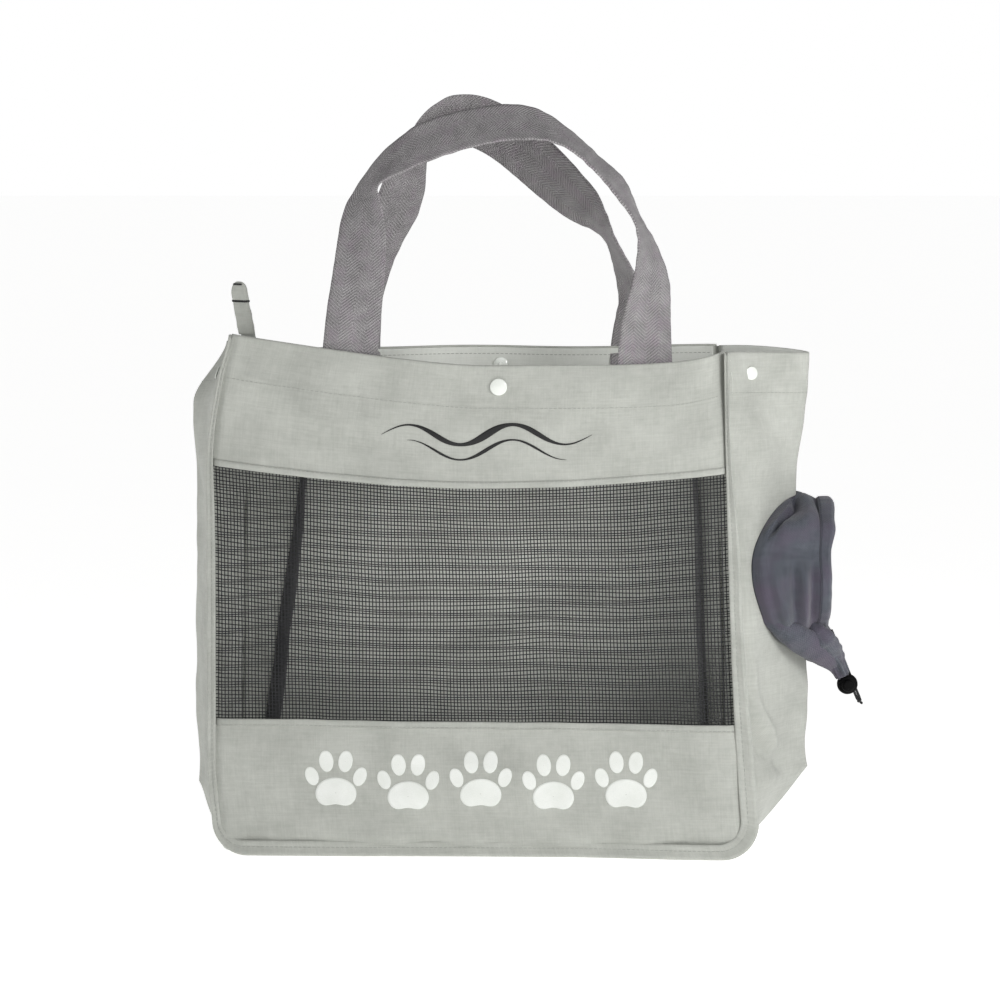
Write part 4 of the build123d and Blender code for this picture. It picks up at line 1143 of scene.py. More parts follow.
def block(length, width, height, bevel):
    """A bevelled block as stacked eight-cornered rings with closed ends."""
    angle = circle(8) + pi / 8
    ring = np.clip(spread(np.cos(angle), np.sin(angle)) * 2, -1, 1) * [length / 2, width / 2]
    top, edge = height / 2, height / 2 * (1 - bevel)
    levels = [(-top, 0.02), (-top, 1 - bevel), (-edge, 1.0), (edge, 1.0), (top, 1 - bevel), (top, 0.02)]
    return np.array([np.c_[ring * scale, np.full(8, z)] for z, scale in levels])


def teeth_piece(name, sign):
    """A row of moulded teeth, each a body clamped on the tape's cord with a head that reaches between
    the other row's heads."""
    x = np.arange(-163.0, 155.0, TEETH_STEP) + (0.0 if sign < 0 else TEETH_STEP / 2)
    tooth = joined([block(1.5, 1.9, 1.7, 0.35) + [0, 0.1, 0], block(1.15, 1.3, 1.2, 0.4) + [0, 1.2, 0]])
    centres = spread(x, sign * 1.95, TEETH_Z)
    points, quads = repeated(*tooth, centres, np.array([[-sign, 0, 0]]), np.array([[0, -sign, 0]]), upwards)
    return mesh_piece(name, points, quads, teeth_grey, smooth=False)


def stop_piece(name, sign):
    """A metal top stop, squeezed on the tape after the last tooth."""
    return ring_piece(name, block(2.8, 2.4, 2.1, 0.3) + [STOP_X, sign * 1.8, TEETH_Z], bright_metal)


front_flap, front_flap_stitches = flap_piece("front_flap_cloth", -1.0)
rear_flap, rear_flap_stitches = flap_piece("rear_flap_cloth", 1.0)
front_tape, rear_tape = tape_piece("front_tape", -1.0), tape_piece("rear_tape", 1.0)
front_teeth, rear_teeth = teeth_piece("front_teeth", -1.0), teeth_piece("rear_teeth", 1.0)
front_stop, rear_stop = stop_piece("front_stop", -1.0), stop_piece("rear_stop", 1.0)
print("zip teeth:", len(front_teeth.data.polygons) // 80, "to a row")

# %% [markdown]
# ## Slider and pull
# The slider is two plates, wider at the end where the rows part, with a wedge between them and a loop on
# top for the pull. Plates like these are outlines with a rounded edge: rings of one outline, drawn in and
# lifted.

# %% Slider
SLIDER_X, EYE_X, PULL_Z = 150.0, 147.0, 332.4


def outline_plate(outline, low, high, soft=0.35):
    """A plate with rounded edges from a closed outline (n, 2): rings by scale about its middle."""
    middle = outline.mean(0)
    levels = [(low, 0.01), (low, 0.9), (between(low, high, soft), 1.0), (between(high, low, soft), 1.0),
              (high, 0.9), (high, 0.01)]
    return np.array([np.c_[middle + (outline - middle) * scale, np.full(len(outline), z)]
                     for z, scale in levels])


def pear(length, wide_end, narrow_end, count=48):
    """A plate outline along x: an ellipse whose half width goes from one end's size to the other's."""
    x = squared(np.cos(circle(count)), 0.6) * length / 2
    half = between(wide_end, narrow_end, 0.5 + x / length) / 2
    return spread(x, squared(np.sin(circle(count)), 0.6) * half)


slider_outline = pear(12.0, 8.6, 10.0) + [SLIDER_X, 0]
wedge = outline_plate(pear(3.4, 0.7, 3.2, 24) + [SLIDER_X + 3.9, 0], 327.3, 329.9, 0.1)
arch_turn = np.linspace(0.0, pi, 24)
arch_path = spread(EYE_X - 2.3 * np.cos(arch_turn), 0.0, 331.0 + 4.0 * np.sin(arch_turn) ** 0.7)
slider = mesh_piece("zip_slider_body", *joined([
    outline_plate(slider_outline, 329.75, 331.2), outline_plate(slider_outline, 326.0, 327.4), wedge,
    tube(arch_path, 1.15, -ahead[0], 0.75)]), bright_metal)

# %% Pull: a waisted plate, two arms and the pin in the slider's loop
plate_run = np.linspace(0.0, 1.0, 26)[:, None]
plate_half = between(2.6, 4.0, ease(0.0, 0.45, plate_run))
plate_half = plate_half * np.sqrt(np.clip(1 - (2 * plate_run - 1) ** 14, 0.02, 1))
plate_thick = 0.8 * (1 - 0.45 * hump(plate_run, 0.55, 0.28))
plate = spread(between(151.9, 171.0, plate_run), plate_half * squared(np.cos(circle(16)), 0.35),
               PULL_Z + plate_thick * squared(np.sin(circle(16)), 0.7))
plate = np.concatenate([plate[:1] * [1, 0.05, 1], plate, plate[-1:] * [1, 0.05, 1]])
arms = [capped(tube([[EYE_X, side * 2.4, PULL_Z], [149.5, side * 2.4, PULL_Z], [152.6, side * 2.3, PULL_Z]],
                    [0.9, 0.85, 0.8], upwards[0], 0.9)) for side in (-1.0, 1.0)]
pin = capped(tube([[EYE_X, y, PULL_Z] for y in (-3.2, 0.0, 3.2)], 0.85, upwards[0], sides=12))
pull = mesh_piece("zip_pull_tag", *joined([plate[:, ::-1], *arms, pin]), bright_metal)
print("slider and pull:", len(slider.data.polygons), "and", len(pull.data.polygons), "faces")

# %% [markdown]
# ## Zip tail and end tab
# Past the flaps the tape turns up behind the corner, and its end is capped by a folded canvas tab. The
# tail is a ribbon whose width turns a quarter on its way up; the tab is a soft folded packet round it.

# %% Zip tail
tail_run = smooth_run([
    (-164.6, 0, 328.6, 0, 8), (-169.5, 0, 329.6, 0, 8), (-173.2, 0, 336.0, 1.5, 7.8),
    (-173.0, -0.6, 350.0, 5, 6.2), (-170.6, -1.0, 366.0, 5.6, 4.6), (-173.6, -1.0, 384.0, 5.0, 4.8)], 80, 6)
tail_wide = spread(tail_run[:, 3], -tail_run[:, 4], 0.0)
tail_grid = tail_run[:, None, :3] + tail_wide[:, None] * np.linspace(-1, 1, 15)[None, :, None]
tail_sway = 0.3 * flap_sway(tail_run[:, 2] * 4, tail_run[:, 0])
tail_grid = tail_grid + outward(tail_grid) * tail_sway[:, None, None]
zip_tail = cloth("zip_tail_tape", tail_grid, 1.1, zip_tape)

# %% End tab: its middle line, half width and thickness up the tab, then its section
TAB_HALF = 7.6
tab_x, tab_z, tab_half = smooth_run([(-172.4, 374, 6.6), (-174.0, 384, 6.4), (-176.4, 396, 6.3),
                                     (-177.6, 405, 6.2), (-178.0, 413.2, 5.4)], 60, 8).T
tab_up = np.linspace(0.0, 1.0, 60)
tab_shown = tab_half * np.sqrt(np.clip(1 - np.clip((tab_up - 0.84) / 0.17, 0, 1) ** 2.2, 0.05, 1))
tab_deep = -np.sqrt(np.maximum(TAB_HALF ** 2 - tab_half ** 2, 0.0)) * tab_shown / tab_half
tab_wide = spread(tab_shown, tab_deep, 0.0)
tab_face = unit(np.cross(tab_wide, np.gradient(spread(tab_x, 0.0, tab_z), axis=0)))[:, None]
tab_thick = 1.7 * (1 - 0.35 * hump(tab_up, 0.60, 0.02))
tab_thick = tab_thick * np.sqrt(np.clip(1 - (2 * tab_up - 1) ** 16, 0.01, 1))
tab_rise = tab_thick[:, None] * squared(np.sin(circle(40)), 0.8)
tab_grid = (spread(tab_x, -1.0, tab_z)[:, None] + tab_rise[..., None] * tab_face
            + tab_wide[:, None] * squared(np.cos(circle(40)), 0.45)[None, :, None])
tab_grid = tab_grid + 0.3 * fine_sway(tab_grid[..., 0] * 4, tab_grid[..., 2] * 3)[..., None] * tab_face
tab_grid = capped(tab_grid, (0.05,), (0.5, 0.03))
end_tab = ring_piece("zip_tab_fold", tab_grid, canvas, True)
# Dark grains in a ring round the tab's groove and in a short row across its tip.
for row in (38, 39):
    ring = tab_grid[row][np.r_[0:40, 0]]
    sew("tab_dark_marks", ring, unit(ring - ring.mean(0)), pitch=1.5, length=1.5, width=1.1)
tip = tab_grid[-6][6:15]
sew("tab_dark_marks", tip, unit(tip - tab_grid[-6].mean(0)), pitch=1.2, length=1.3, width=1.5)
tab_dark_marks = sewn("tab_dark_marks", black_print)
print("zip tail and tab made")

# %% [markdown]
# ## Press studs
# White enamelled caps outside, a ringed socket or a stud inside. Each is a profile turned round an axis
# square to the cloth, placed on the cloth's own surface where the rippled canvas really lies.

# %% Turned parts
def turned(profile, middle, axis, count=40):
    """Rings of a profile (radius, height) round an axis through a point."""
    axis = unit(np.asarray(axis, float))
    side = unit(np.cross(axis, [0.31, 0.17, 0.93]))
    angle = circle(count)[:, None]
    ring = np.cos(angle) * side + np.sin(angle) * np.cross(axis, side)
    radius, height = np.array(profile, float).T[:, :, None, None]
    return np.asarray(middle) + radius * ring + height * axis


def cap_profile(radius, rise=1.0):
    """A domed cap: flat back, rolled rim, low dome with a shallow ring; rise scales its height."""
    heights = [-0.8, -0.8, -0.3, 0.3, 0.85, 1.15, 1.12, 1.3, 1.62, 1.75]
    shares = [0.003, 0.9, 1.0, 1.0, 0.95, 0.84, 0.74, 0.66, 0.4, 0.003]
    return [(radius * share, height * rise) for share, height in zip(shares, heights)]


SOCKET_PROFILE = [(0.02, -1.0), (4.6, -1.0), (5.5, -0.4), (5.6, 0.9), (5.2, 1.5), (4.2, 1.7), (3.2, 1.6),
                  (2.7, 1.2), (2.6, 0.2), (0.02, 0.1)]
STUD_PROFILE = [(0.02, -1.0), (4.6, -1.0), (5.5, -0.4), (5.6, 0.4), (5.0, 0.9), (2.6, 1.0), (1.9, 1.3),
                (1.8, 1.8), (2.0, 2.3), (1.7, 2.8), (0.9, 3.0), (0.02, 3.05)]


def snap(name, profile, middle, axis):
    """One press-stud part."""
    return ring_piece(name, turned(profile, middle, axis)[:, ::-1], snap_white)


def surface_normal(point, a, z):
    """Normal of a surface function at (a, z), from its neighbours 3 mm away on four sides."""
    return unit(np.cross(point(a + 3.0, z) - point(a - 3.0, z), point(a, z + 3.0) - point(a, z - 3.0)))


# %% Press studs
SNAP_X, SNAP_Z, REAR_SNAP_Z, SIDE_SNAP_Z = 14.6, 339.4, 349.2, 347.6
SIDE_SNAP, PER_SHARE = 0.69, 60.0          # share a of the side studs, and mm to a whole share
CAP_RADIUS, CAP_OUT, FITTING_IN = 6.2, 0.7, 4.9
SIDE_CAP_OUT, SIDE_FITTING_IN, SIDE_TILT = 0.9, 4.4, 0.75
front_spot, front_way = front_point(SNAP_X, SNAP_Z), surface_normal(front_point, SNAP_X, SNAP_Z)
rear_spot = rear_point(SNAP_X, REAR_SNAP_Z)
rear_way = -surface_normal(rear_point, SNAP_X, REAR_SNAP_Z)
snap_pieces, side_caps = {}, []
for place, kind, fitting, spot, way in (("front", "socket", SOCKET_PROFILE, front_spot, front_way),
                                        ("rear", "stud", STUD_PROFILE, rear_spot, rear_way)):
    snap_pieces[f"{place}_cap"] = snap(f"{place}_cap", cap_profile(CAP_RADIUS), spot + way * CAP_OUT, way)
    snap_pieces[f"{place}_{kind}"] = snap(f"{place}_{kind}", fitting, spot - way * FITTING_IN, -way)
for hand, right in (("right", True), ("left", False)):
    for kind, a, fitting in (("stud", -SIDE_SNAP, STUD_PROFILE), ("socket", SIDE_SNAP, SOCKET_PROFILE)):
        spot = gusset_point(a, SIDE_SNAP_Z, right)
        way = surface_normal(lambda u, z: gusset_point(u / PER_SHARE, z, right), a * PER_SHARE, SIDE_SNAP_Z)
        way = way if (way[0] > 0) == right else -way
        way = unit(way + [0.0, SIDE_TILT * np.sign(a) * right, 0.0])
        snap_pieces[f"{hand}_{kind}"] = snap(
            f"side_{hand}_{kind}", fitting, spot - way * SIDE_FITTING_IN, -way)
        side_caps.append(turned(cap_profile(4.9, 0.42), spot + way * SIDE_CAP_OUT, way)[:, ::-1])
side_cap_piece = mesh_piece("side_caps", *joined(side_caps), snap_white)
print("press studs:", len(snap_pieces), "fittings and 4 side caps")

# %% [markdown]
# ## Head collar
# A soft grey sleeve grows out of the gusset's hole and ends in a hem that holds the drawcord. A plain
# tube would look like a pipe: real cloth puffs at the seam, falls in soft folds and is pinched where it
# turns. So the sleeve is a surface between two ovals, and its folds are humps and valleys pushed along
# its own outward direction.

# %% Sleeve before its folds
collar_sway, collar_fine = ripples(51, 26, 70), ripples(53, 9, 22)
HEM_START, HEM_WIDTH = 250.3, 9.0
MOUTH_HALF, MOUTH_MIDDLE, MOUTH_UP, MOUTH_DOWN = 42.5, 198.0, 54.5, 44.0
COLLAR_COLUMNS = 300


def seam_point(turn):
    """The sleeve's seam: the hole's oval laid on the gusset, a little proud of it."""
    return gusset_point(*hole_place(turn)) + spread(0.7, 0.4 * np.cos(turn), 0.4 * np.sin(turn))


def mouth_point(turn):
    """Where the sleeve meets the hem: an oval square to x, taller above its middle than below."""
    z = MOUTH_MIDDLE + np.sin(turn) * np.where(np.sin(turn) > 0, MOUTH_UP, MOUTH_DOWN)
    x = HEM_START - 0.4 * hump(z, 238.0, 18.0) - 1.2 * (1.0 - ease(205.0, 232.0, z))
    return spread(x, MOUTH_HALF * np.cos(turn), z)


collar_turn = circle(COLLAR_COLUMNS)
collar_away = spread(0.0, np.cos(collar_turn), np.sin(collar_turn))
reach = np.linspace(0.0, 1.0, 90)[:, None]
puff = 3.4 * np.sin(pi * reach) ** 0.8 + 2.2 * hump(reach, 0.13, 0.09)
puff = puff * (1.0 - 0.75 * hump(collar_turn, 2.05, 0.42) - 0.35 * hump(collar_turn, pi / 2, 0.3))
sleeve_base = between(seam_point(collar_turn)[None], mouth_point(collar_turn)[None], reach[..., None])
sleeve_base = sleeve_base + puff[..., None] * collar_away


# %% Folds of the sleeve
def fold_line(x, z, segment, above, below):
    """A hump along a segment with unlike flanks: width above on its left side and below on its right."""
    run, off = along_segment(x, z, *segment)
    return hump(off, 0.0, np.where(off < 0, above, below)) * ease(-0.2, 0.3, run) * (1 - ease(0.7, 1.2, run))


base_x, base_side, base_up = np.moveaxis(sleeve_base, -1, 0)
front_folds = 5.0 * fold_line(base_x, base_up, (214, 230, 250, 244), 6, 8)
front_folds = front_folds + creases(
    base_x, base_up, (-3.6, 208, 222, 244, 215, 6.0), (4.6, 213, 208, 226, 160, 5.5),
    (-4.4, 229, 212, 232, 160, 3.4), (3.6, 237, 206, 239, 160, 3.0), (-3.2, 244, 212, 245, 160, 2.8),
    (2.2, 250, 208, 250, 166, 2.6), (-5.4, 232, 248, 210, 229, 1.7), (1.8, 230, 250, 208, 230, 1.8),
    (-3.0, 247, 258, 251, 236, 1.9))
front_folds = front_folds + humps(base_x, base_up, (-5.5, 232.0, 2.4, 251.0, 4.5),
                                  (3.6, 240.0, 4.4, 253.0, 8.0), (-1.2, 250.0, 5.0, 221.0, 7.0))
rear_folds = creases(base_x, base_up, (2.2, 220, 238, 252, 210, 8), (-2.4, 214, 206, 252, 196, 4),
                     (1.4, 230, 190, 234, 150, 4), (-1.4, 240, 196, 242, 152, 3))
gathers = np.sin(15.0 * collar_turn + 1.2 * np.sin(2 * collar_turn)) + 0.5 * np.sin(26.0 * collar_turn + 1.0)
round_mm = collar_turn * 50.0
sleeve_sway = 0.9 * collar_sway(round_mm, base_x * 1.2) + 0.2 * collar_fine(round_mm, base_x)
sleeve_push = (between(front_folds, rear_folds, ease(-10.0, 10.0, base_side))
               + sleeve_sway * np.sin(pi * reach) + 0.12 * gathers * ease(0.55, 1.0, reach))
sleeve_grid = sleeve_base + outward(sleeve_base, close_columns=True) * sleeve_push[..., None]
collar_sleeve = cloth("collar_sleeve", sleeve_grid, 0.9, collar_cloth, close_columns=True)
print("sleeve:", sleeve_grid.reshape(-1, 3).min(0).round(1), sleeve_grid.reshape(-1, 3).max(0).round(1))

# %% [markdown]
# ## Hem and its cord
# The hem is the sleeve's edge folded back on itself, with the cord drawn through it. It is a flattened
# ring whose section swells and shrinks with the gathers, and its inner edge is sewn down.

# %% Hem
out_x = np.array([1.0, 0.0, 0.0])
hem_turn = circle(60)[::-1]
across_hem, through_hem = squared(np.cos(hem_turn), 0.6), squared(np.sin(hem_turn), 0.9)
mouth_line = sleeve_grid[-1]
mouth_z = mouth_line[:, 2]
hem_width = (HEM_WIDTH + 2.4 * ease(218.0, 236.0, mouth_z) + 1.2 * ease(240.0, 252.0, mouth_z)
             - 0.8 * hump(mouth_z, 190.0, 30.0))
hem_thick = 1.4 + 0.6 * ease(220.0, 238.0, mouth_z) + 0.06 * gathers + 0.1 * np.sin(41.0 * collar_turn)
hem_middle = mouth_line + out_x * (hem_width / 2 - 0.8)[:, None] + collar_away * 0.3
hem_lift = (through_hem[:, None] * hem_thick - 1.6 * ease(0.2, 1.0, across_hem)[:, None] ** 2
            + 0.08 * gathers * across_hem[:, None])
hem_grid = (hem_middle + out_x * (across_hem[:, None] * hem_width / 2)[..., None]
            + collar_away * hem_lift[..., None])
collar_hem = ring_piece("collar_hem_fold", hem_grid, collar_cloth, True, loop=True)
closed = np.r_[0:COLLAR_COLUMNS, 0]
sewn_row = np.argmin(np.abs(across_hem + 0.72) + 5 * (through_hem < 0))
hem_line = hem_grid[sewn_row][closed] + collar_away[closed] * 0.05
sew("hem_stitches", hem_line, collar_away[closed], pitch=2.8, length=2.2, width=0.45)
hem_stitches = sewn("hem_stitches", collar_thread)
hem_cord = ring_piece("hem_cord_ring", loop_tube(hem_middle + out_x * 1.2, 0.8, out_x), cord_black, loop=True)
print("hem:", round(float(hem_grid[..., 0].max()), 1), "mm out,", len(hem_line), "stitch places")

# %% [markdown]
# ## Gathered folds at the cord
# The drawcord pulls the hem's lowest part into a bunch: rolls of cloth sweep from the seam on both sides
# down to the cord lock. They are horns, tubes with an oval section that swell and then close. They are
# one piece apart from the sleeve.

# %% Gathered folds
def horn(stations, flat, lean, seed):
    """A roll of cloth along stations (x, y, z, radius): an oval section, radius across and flat times
    that outwards, pushed in and out by pleats that grow towards its end."""
    run = smooth_run(stations, 90, 8)
    share, angle = np.linspace(0.0, 1.0, len(run))[:, None], circle(56)[None]
    rings = tube(run[:, :3], run[:, 3], np.array(lean), flat, 56)
    pleats = 0.10 * np.sin(7 * angle + 3.0 * share + seed) * ease(0.35, 1.0, share)
    pleats = pleats + 0.05 * np.sin(12 * angle - 2.0 * share) * ease(0.6, 1.0, share)
    pleats = pleats + 0.05 * collar_fine(share * 70 + seed, angle * 9)
    rings = capped(between(run[:, None, :3], rings, 1.0 + pleats[..., None]), (0.05,), (0.6, 0.04))
    part = rings[20:40]
    facing_out = outward(part, close_columns=True) * (part - part.mean(1, keepdims=True))
    return rings if facing_out.sum() > 0 else rings[:, ::-1]


lower_roll = [(206.5, -43, 175, 2.4), (212.5, -42, 167.5, 5.0), (221, -39, 161.5, 7.4),
              (232, -34, 154.5, 9.8), (243, -27, 147.5, 10.9), (252.5, -20, 140.6, 10.0),
              (260, -12, 133.6, 7.8), (266, -5, 127, 5.6), (270, -2, 120, 4.8)]
upper_roll = [(243, -24, 164, 5.0), (247.5, -28, 157.5, 7.4), (253, -27, 151.5, 8.4), (258, -20, 145.5, 8.6),
              (261.5, -12, 138.5, 8.0), (264.8, -5, 130.5, 6.5), (269.6, -2, 121.5, 5.2)]
centre_roll = [(232, 0, 166, 3.0), (240, 0, 158, 10.5), (250, 0, 149, 12.5), (258, 0, 140, 9.5),
               (264.5, 0, 131, 6.2), (269.8, 0, 121, 5.0)]
horns = [horn(np.array(stations) * [1.0, -side, 1.0, 1.0], flat, (0.15, side, 0.35 * side), seed + side)
         for side, lower_flat in ((-1.0, 0.52), (1.0, 0.46))
         for stations, flat, seed in ((lower_roll, lower_flat, 1.0), (upper_roll, 0.6, 4.0))]
horns.append(horn(centre_roll, 2.1, (0.0, 1.0, 0.0), 2.0))
collar_gather = mesh_piece("collar_gather", *joined(horns), collar_cloth,
                           np.concatenate([cloth_lengths(rings).reshape(-1, 2) for rings in horns]))
print("gathered folds:", len(horns), "rolls")

# %% [markdown]
# ## Cord lock and knot
# The lock is a small moulded barrel with a spring button on one side. Turned profiles with fine steps
# give it its grip rings. The knot below it is a true overhand knot: a tube along a trefoil, the closed
# form of that knot, with the two cord ends leaving it.

# %% Cord lock
LOCK_MIDDLE = np.array([273.6, 0.0, 114.0])


def barrel(name, profile, squeeze, count):
    """A profile turned round the lock's axis, pressed to an oval section along the cord."""
    rings = turned(profile, LOCK_MIDDLE, (0, 1, 0), count)
    along = (rings - LOCK_MIDDLE) @ cord_way
    rings = rings - along[..., None] * cord_way * (1.0 - squeeze)
    return ring_piece(name, rings[:, ::-1], lock_black)


cord_lock = barrel("lock_barrel", [
    (0.02, -5.8), (4.9, -5.8), (6.2, -5.3), (7.2, -4.2), (7.5, -3.0), (7.1, -2.5), (7.1, -2.1), (7.6, -1.6),
    (7.75, 0.0), (7.6, 1.6), (7.1, 2.1), (7.1, 2.5), (7.5, 3.0), (7.2, 4.4), (6.2, 5.4), (4.8, 5.8),
    (0.02, 5.9)], 0.97, 48)
lock_button = barrel("lock_button_cap", [
    (0.02, -11.0), (2.6, -11.0), (3.9, -10.7), (4.6, -9.9), (4.75, -8.8), (4.6, -8.3), (4.6, -7.9),
    (4.75, -7.4), (4.75, -6.0), (4.6, -5.0), (3.6, -4.6), (0.02, -4.5)], 0.95, 40)

# %% Knot
knot_turn = circle(120)[:, None]
trefoil_y = (np.sin(knot_turn) + 2 * np.sin(2 * knot_turn)) / 3.0
trefoil_way = (np.cos(knot_turn) - 2 * np.cos(2 * knot_turn)) / 3.0
trefoil_across = -1.25 * np.sin(3 * knot_turn) / 3.0
knot_middle = cord_start + cord_way * (CORD_RUN + 0.6)
knot_path = (knot_middle + trefoil_y * [0.0, 2.2, 0.0] + trefoil_way * cord_way * 2.0
             + trefoil_across * cord_across * 2.3)
knot_rings = loop_tube(knot_path, 0.95, np.array([0.3, 0.2, 0.9]))
knot_parts = [np.concatenate([knot_rings, knot_rings[:1]])]
for side in (-1.0, 1.0):
    tail_path = smooth_run([knot_middle + cord_way * 1.0 + [0, side * 0.6, 0],
                            knot_middle + cord_way * 3.0 + [0.3, side * 1.2, 0.2],
                            knot_middle + cord_way * 4.4 + [1.0, side * 1.7, 0.9]], 12, 2)
    knot_parts.append(capped(tube(tail_path, 0.9 * np.r_[np.ones(10), 0.95, 0.8], np.array([0.0, 0.3, 1.0]))))
cord_knot = mesh_piece("cord_knot_wrap", *joined(knot_parts), cord_black)
print("knot:", knot_path.min(0).round(1), knot_path.max(0).round(1))

# %% [markdown]
# ## Printed motifs
# The printed row on the lower band and the flourish under the facing are a skin of ink, a fraction of a
# millimetre thick. Painting them in the shader would tie them to one picture; cut as thin raised shapes on
# the cloth's own surface they stay sharp from close by. The shapes are plain rounded paw marks and a
# plain wave.

# %% Paw marks
INK = 0.28


def pad(x, z, width, height, lean, dent=0.0, rings=7):
    """A rounded pad of ink on the front cloth: an ellipse turned by lean, its lower side pushed in by
    dent, as rings drawn in towards its middle, with the rim dropped into the cloth."""
    wave, rise = np.cos(circle(40)), np.sin(circle(40))
    flat = spread(wave * width, rise * height * (1 - dent * np.maximum(-rise, 0) * hump(wave, 0, 0.6))) / 2
    outline = flat @ np.array([[np.cos(lean), np.sin(lean)], [-np.sin(lean), np.cos(lean)]]) + [x, z]
    scale = np.r_[1.0, np.linspace(1.0, 0.02, rings)][:, None, None]
    grid = front_point(*np.moveaxis(between(outline.mean(0), outline, scale), -1, 0))
    grid[..., 1] -= np.r_[-0.3, np.full(rings, INK)][:, None]
    return grid[:, ::-1]


prints = []
for number, x in enumerate(np.linspace(-103.0, 107.0, 5)):
    z = 56.0 - 2.0 * (number % 2)
    prints.append(pad(x, z - 10.5, 30.0, 23.5, 0.0, 0.35, 9))
    for across, up, size, lean in ((-17.5, 2.0, 0.9, 0.35), (-7.0, 13.0, 1.0, 0.12), (7.0, 13.0, 1.0, -0.12),
                                   (17.5, 2.0, 0.9, -0.35)):
        prints.append(pad(x + across, z + up, 10.5 * size, 15.8 * size, lean))
paw_print = mesh_piece("paw_prints", *joined(prints), white_print)

# %% Wave
WAVE_LENGTH = 152.0
wave_run = np.linspace(0.0, WAVE_LENGTH, 200)
wave_x, wave_turn = wave_run - 70.0, wave_run / WAVE_LENGTH * 4 * pi
wave_z = 303.0 + 7.5 * np.sin(wave_turn) * (0.55 + 0.45 * np.cos((wave_x - 6.0) / 90.0))
wave_half = 0.8 + 2.3 * np.sin(wave_turn / 4) * (0.6 + 0.4 * np.cos(2 * wave_turn))
share = np.array([-1.0, -1.0, -0.5, 0.0, 0.5, 1.0, 1.0])
sunk = np.array([-0.3, 1.0, 1.0, 1.0, 1.0, 1.0, -0.3]) * INK
strokes = []
for lift, thin, part in ((2.0, 1.0, slice(0, 200)), (-9.0, 0.5, slice(24, 176))):
    half = wave_half[part] * thin
    half = half * np.sqrt(np.sin(np.linspace(0.02, pi - 0.02, len(half))))
    grid = front_point(wave_x[part, None] + 0 * share, wave_z[part, None] + lift + half[:, None] * share)
    grid[..., 1] -= sunk
    strokes.append(grid)
wave_points, wave_faces = joined(strokes, closed=False)
wave_print = mesh_piece("wave_print", wave_points, wave_faces[:, ::-1], black_print)
print("prints:", len(prints), "patches and", len(strokes), "strokes")

# %% [markdown]
# ## Which body carries which piece
# The frame holds the bodies that move: the shell, two flaps, the slider and its pull, two handles, the
# cord lock and its button. A piece that stays whole rides on one body. Cloth that crosses a hinge can't
# ride on either side without tearing, so it rides on none and stays where it was made. The gathered
# folds have no hinge to follow and ride on the shell.

# %% Pieces of the shell
shell_rows = [
    (top_band, "canvas", ["front_top_band"]), (bottom_band, "canvas", ["front_bottom_band"]),
    (hem_top, "canvas", ["window_hem_top"]), (hem_low, "canvas", ["window_hem_bottom"]),
    (window_stitches, "canvas", []), (mesh_warp, "mesh", ["front_mesh_window"]), (mesh_weft, "mesh", []),
    (front_ridge, "canvas", ["front_seam_ridge"]), (front_ridge_stitches, "canvas", []),
    (rear_ridge, "canvas", ["rear_seam_ridge"]), (rear_ridge_stitches, "canvas", []),
    (rear_cloth, "canvas", ["rear_panel"]), (front_lining, "canvas", ["front_facing"]),
    (rear_lining, "canvas", ["rear_facing"]), (left_lining, "canvas", ["left_facing"]),
    (right_lining, "canvas", ["right_facing"]), (facing_stitches, "canvas", []),
    (side_stitches, "canvas", []), (base_cloth, "canvas", ["base_panel"]),
    (stiff_board, "board", ["base_board"]),
    (right_gusset, "canvas", ["right_gusset_front", "right_gusset_rear"]),
    (left_gusset, "canvas", ["left_gusset_front", "left_gusset_rear"]),
    (left_shade_strip, "canvas", []), (right_shade_strip, "canvas", []), (strap_stitches, "webbing", []),
    (zip_tail, "zip_tape", ["zip_tail"]), (end_tab, "canvas", ["zip_end_tab"]), (tab_dark_marks, "canvas", []),
    (snap_pieces["front_cap"], "snap", ["front_snap_cap"]),
    (snap_pieces["front_socket"], "snap", ["front_snap_socket"]),
    (snap_pieces["rear_cap"], "snap", ["rear_snap_cap"]),
    (snap_pieces["rear_stud"], "snap", ["rear_snap_stud"]),
    (snap_pieces["right_stud"], "snap", ["right_gusset_stud"]),
    (snap_pieces["right_socket"], "snap", ["right_gusset_socket"]),
    (snap_pieces["left_stud"], "snap", ["left_gusset_stud"]),
    (snap_pieces["left_socket"], "snap", ["left_gusset_socket"]),
    (side_cap_piece, "snap", ["gusset_snap_caps"]),
    (collar_sleeve, "collar_cloth", ["head_collar"]), (collar_hem, "collar_cloth", ["collar_hem"]),
    (hem_stitches, "collar_cloth", []), (hem_cord, "cord", ["hem_cord"]),
    (collar_gather, "collar_cloth", []), (cord_knot, "cord", ["cord_knot"]),
    (drawcord_front, "cord", ["front_cord_tail"]), (drawcord_rear, "cord", ["rear_cord_tail"]),
    (paw_print, "canvas", []), (wave_print, "canvas", [])]


def carried(piece, body, nodes):
    """A piece rides on a body and stands for the plain nodes in its place."""
    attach(piece, body)
    if nodes:
        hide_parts(*nodes)


for curve in (drawcord_front, drawcord_rear):
    curve.data.materials.append(cord_black)
for piece, slot, nodes in shell_rows:
    carried(piece, "shell", nodes)
print("on the shell:", len(shell_rows), "pieces")

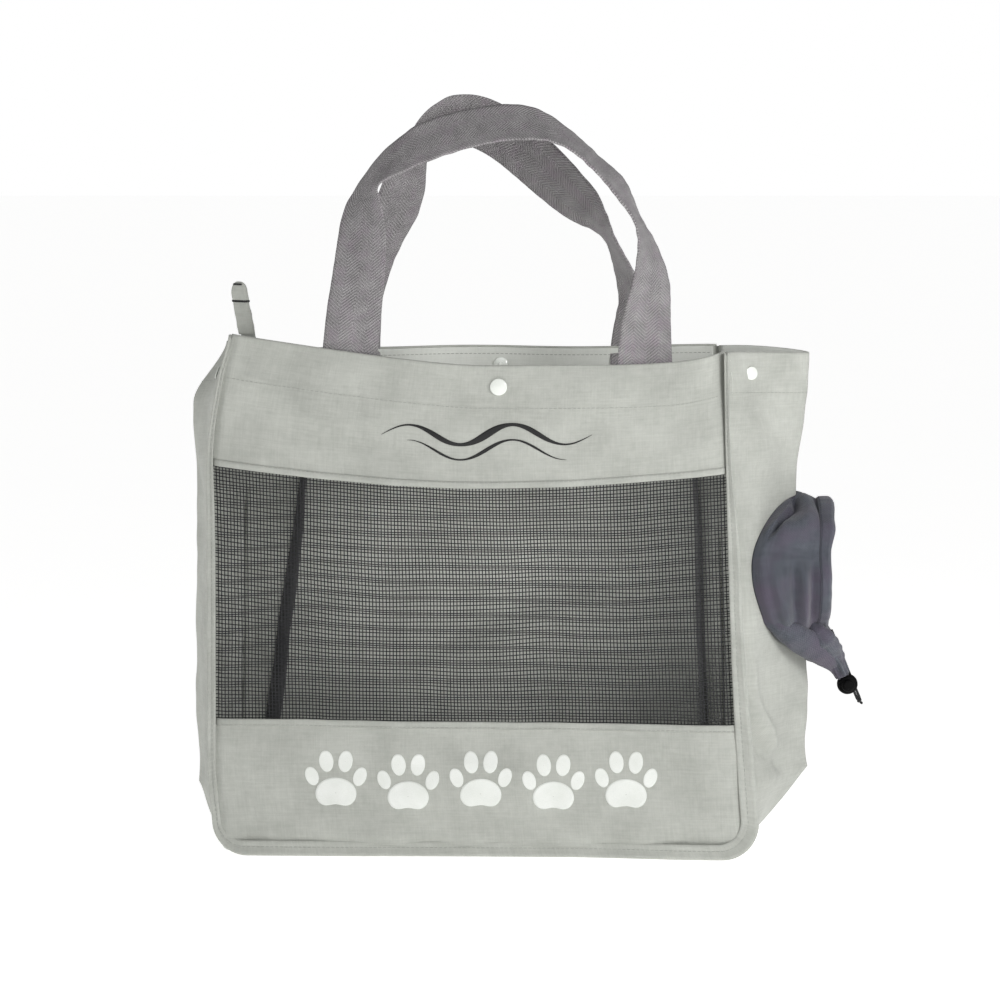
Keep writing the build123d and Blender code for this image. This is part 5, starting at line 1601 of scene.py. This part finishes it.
# %% Pieces that move whole
moving_rows = [
    (front_flap_stitches, "front_flap", "canvas", []), (rear_flap_stitches, "rear_flap", "canvas", []),
    (front_stop, "front_flap", "zip_metal", ["front_zip_stop"]),
    (rear_stop, "rear_flap", "zip_metal", ["rear_zip_stop"]),
    (slider, "slider", "zip_metal", ["zip_slider"]), (pull, "pull", "zip_metal", ["zip_pull"]),
    (cord_lock, "cord_lock", "lock_plastic", ["cord_lock_body"]),
    (lock_button, "lock_button", "lock_plastic", ["cord_lock_plunger"])]
for piece, body, slot, nodes in moving_rows:
    carried(piece, body, nodes)
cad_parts["cord_lock_spring"].data.materials.clear()
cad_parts["cord_lock_spring"].data.materials.append(spring_metal)
print("moving whole:", len(moving_rows), "pieces")

# %% Pieces baked in place, their plain nodes hidden
bending_rows = [
    (front_strap, "front_loop", (14, -51.05, 360.5), (14, -51.05, 385.0), "webbing",
     ["front_handle", "front_handle_ends"]),
    (rear_strap, "rear_loop", (14, 51.05, 360.5), (14, 51.05, 385.0), "webbing",
     ["rear_handle", "rear_handle_ends"]),
    (front_flap, "front_flap", (12.5, -53.2, 330), (12.5, -48.0, 330), "canvas", ["front_zip_flap"]),
    (rear_flap, "rear_flap", (12.5, 53.2, 330), (12.5, 48.0, 330), "canvas", ["rear_zip_flap"]),
    (front_tape, "front_flap", (-165, -9, 329), (-140, -9, 329), "zip_tape", ["front_zip_tape"]),
    (rear_tape, "rear_flap", (-165, 9, 329), (-140, 9, 329), "zip_tape", ["rear_zip_tape"]),
    (front_teeth, "front_flap", (-165, -9, 329), (-140, -9, 329), "zip_teeth", ["front_zip_teeth"]),
    (rear_teeth, "rear_flap", (-165, 9, 329), (-140, 9, 329), "zip_teeth", ["rear_zip_teeth"])]
for piece, body, start, end, slot, nodes in bending_rows:
    [c * MM for c in start]
    [c * MM for c in end]
    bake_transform(piece)
    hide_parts(*nodes)
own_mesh(collar_gather)
print("bending:", len(bending_rows), "pieces, crumpling: 1")

# %% [markdown]
# ## Cords

# %% Cords
print("drawcord tails: 2")

# %% [markdown]
# ## Floor
# A wide sheet of white paper that glows a little stands in for a light table. A modelled sweep behind the
# bag would do the same from the front but would show as a wall in the side views.

# %% Floor
FLOOR_REACH = 200.0
floor_mesh = bpy.data.meshes.new("floor")
corners = [(x * FLOOR_REACH, y * FLOOR_REACH, 0) for x, y in ((-1, -1), (1, -1), (1, 1), (-1, 1))]
floor_mesh.from_pydata(corners, [], [(0, 1, 2, 3)])
floor_mesh.materials.append(hard_finish(
    "floor_paper", (245, 245, 244), (242, 242, 241), 0.8, 0.0, 3.0,
    Emission_Color=(1.0, 1.0, 1.0, 1.0), Emission_Strength=0.67))
floor = bpy.data.objects.new("floor", floor_mesh)
link_object(floor)
print("floor:", 2 * FLOOR_REACH, "m wide")

# %% [markdown]
# ## Piece and face count
# The last line prints the number of pieces and their faces.

# %% Piece and face count
faces = sum(len(piece.data.polygons) for piece in made)
print("pieces:", len(made), "faces:", faces)
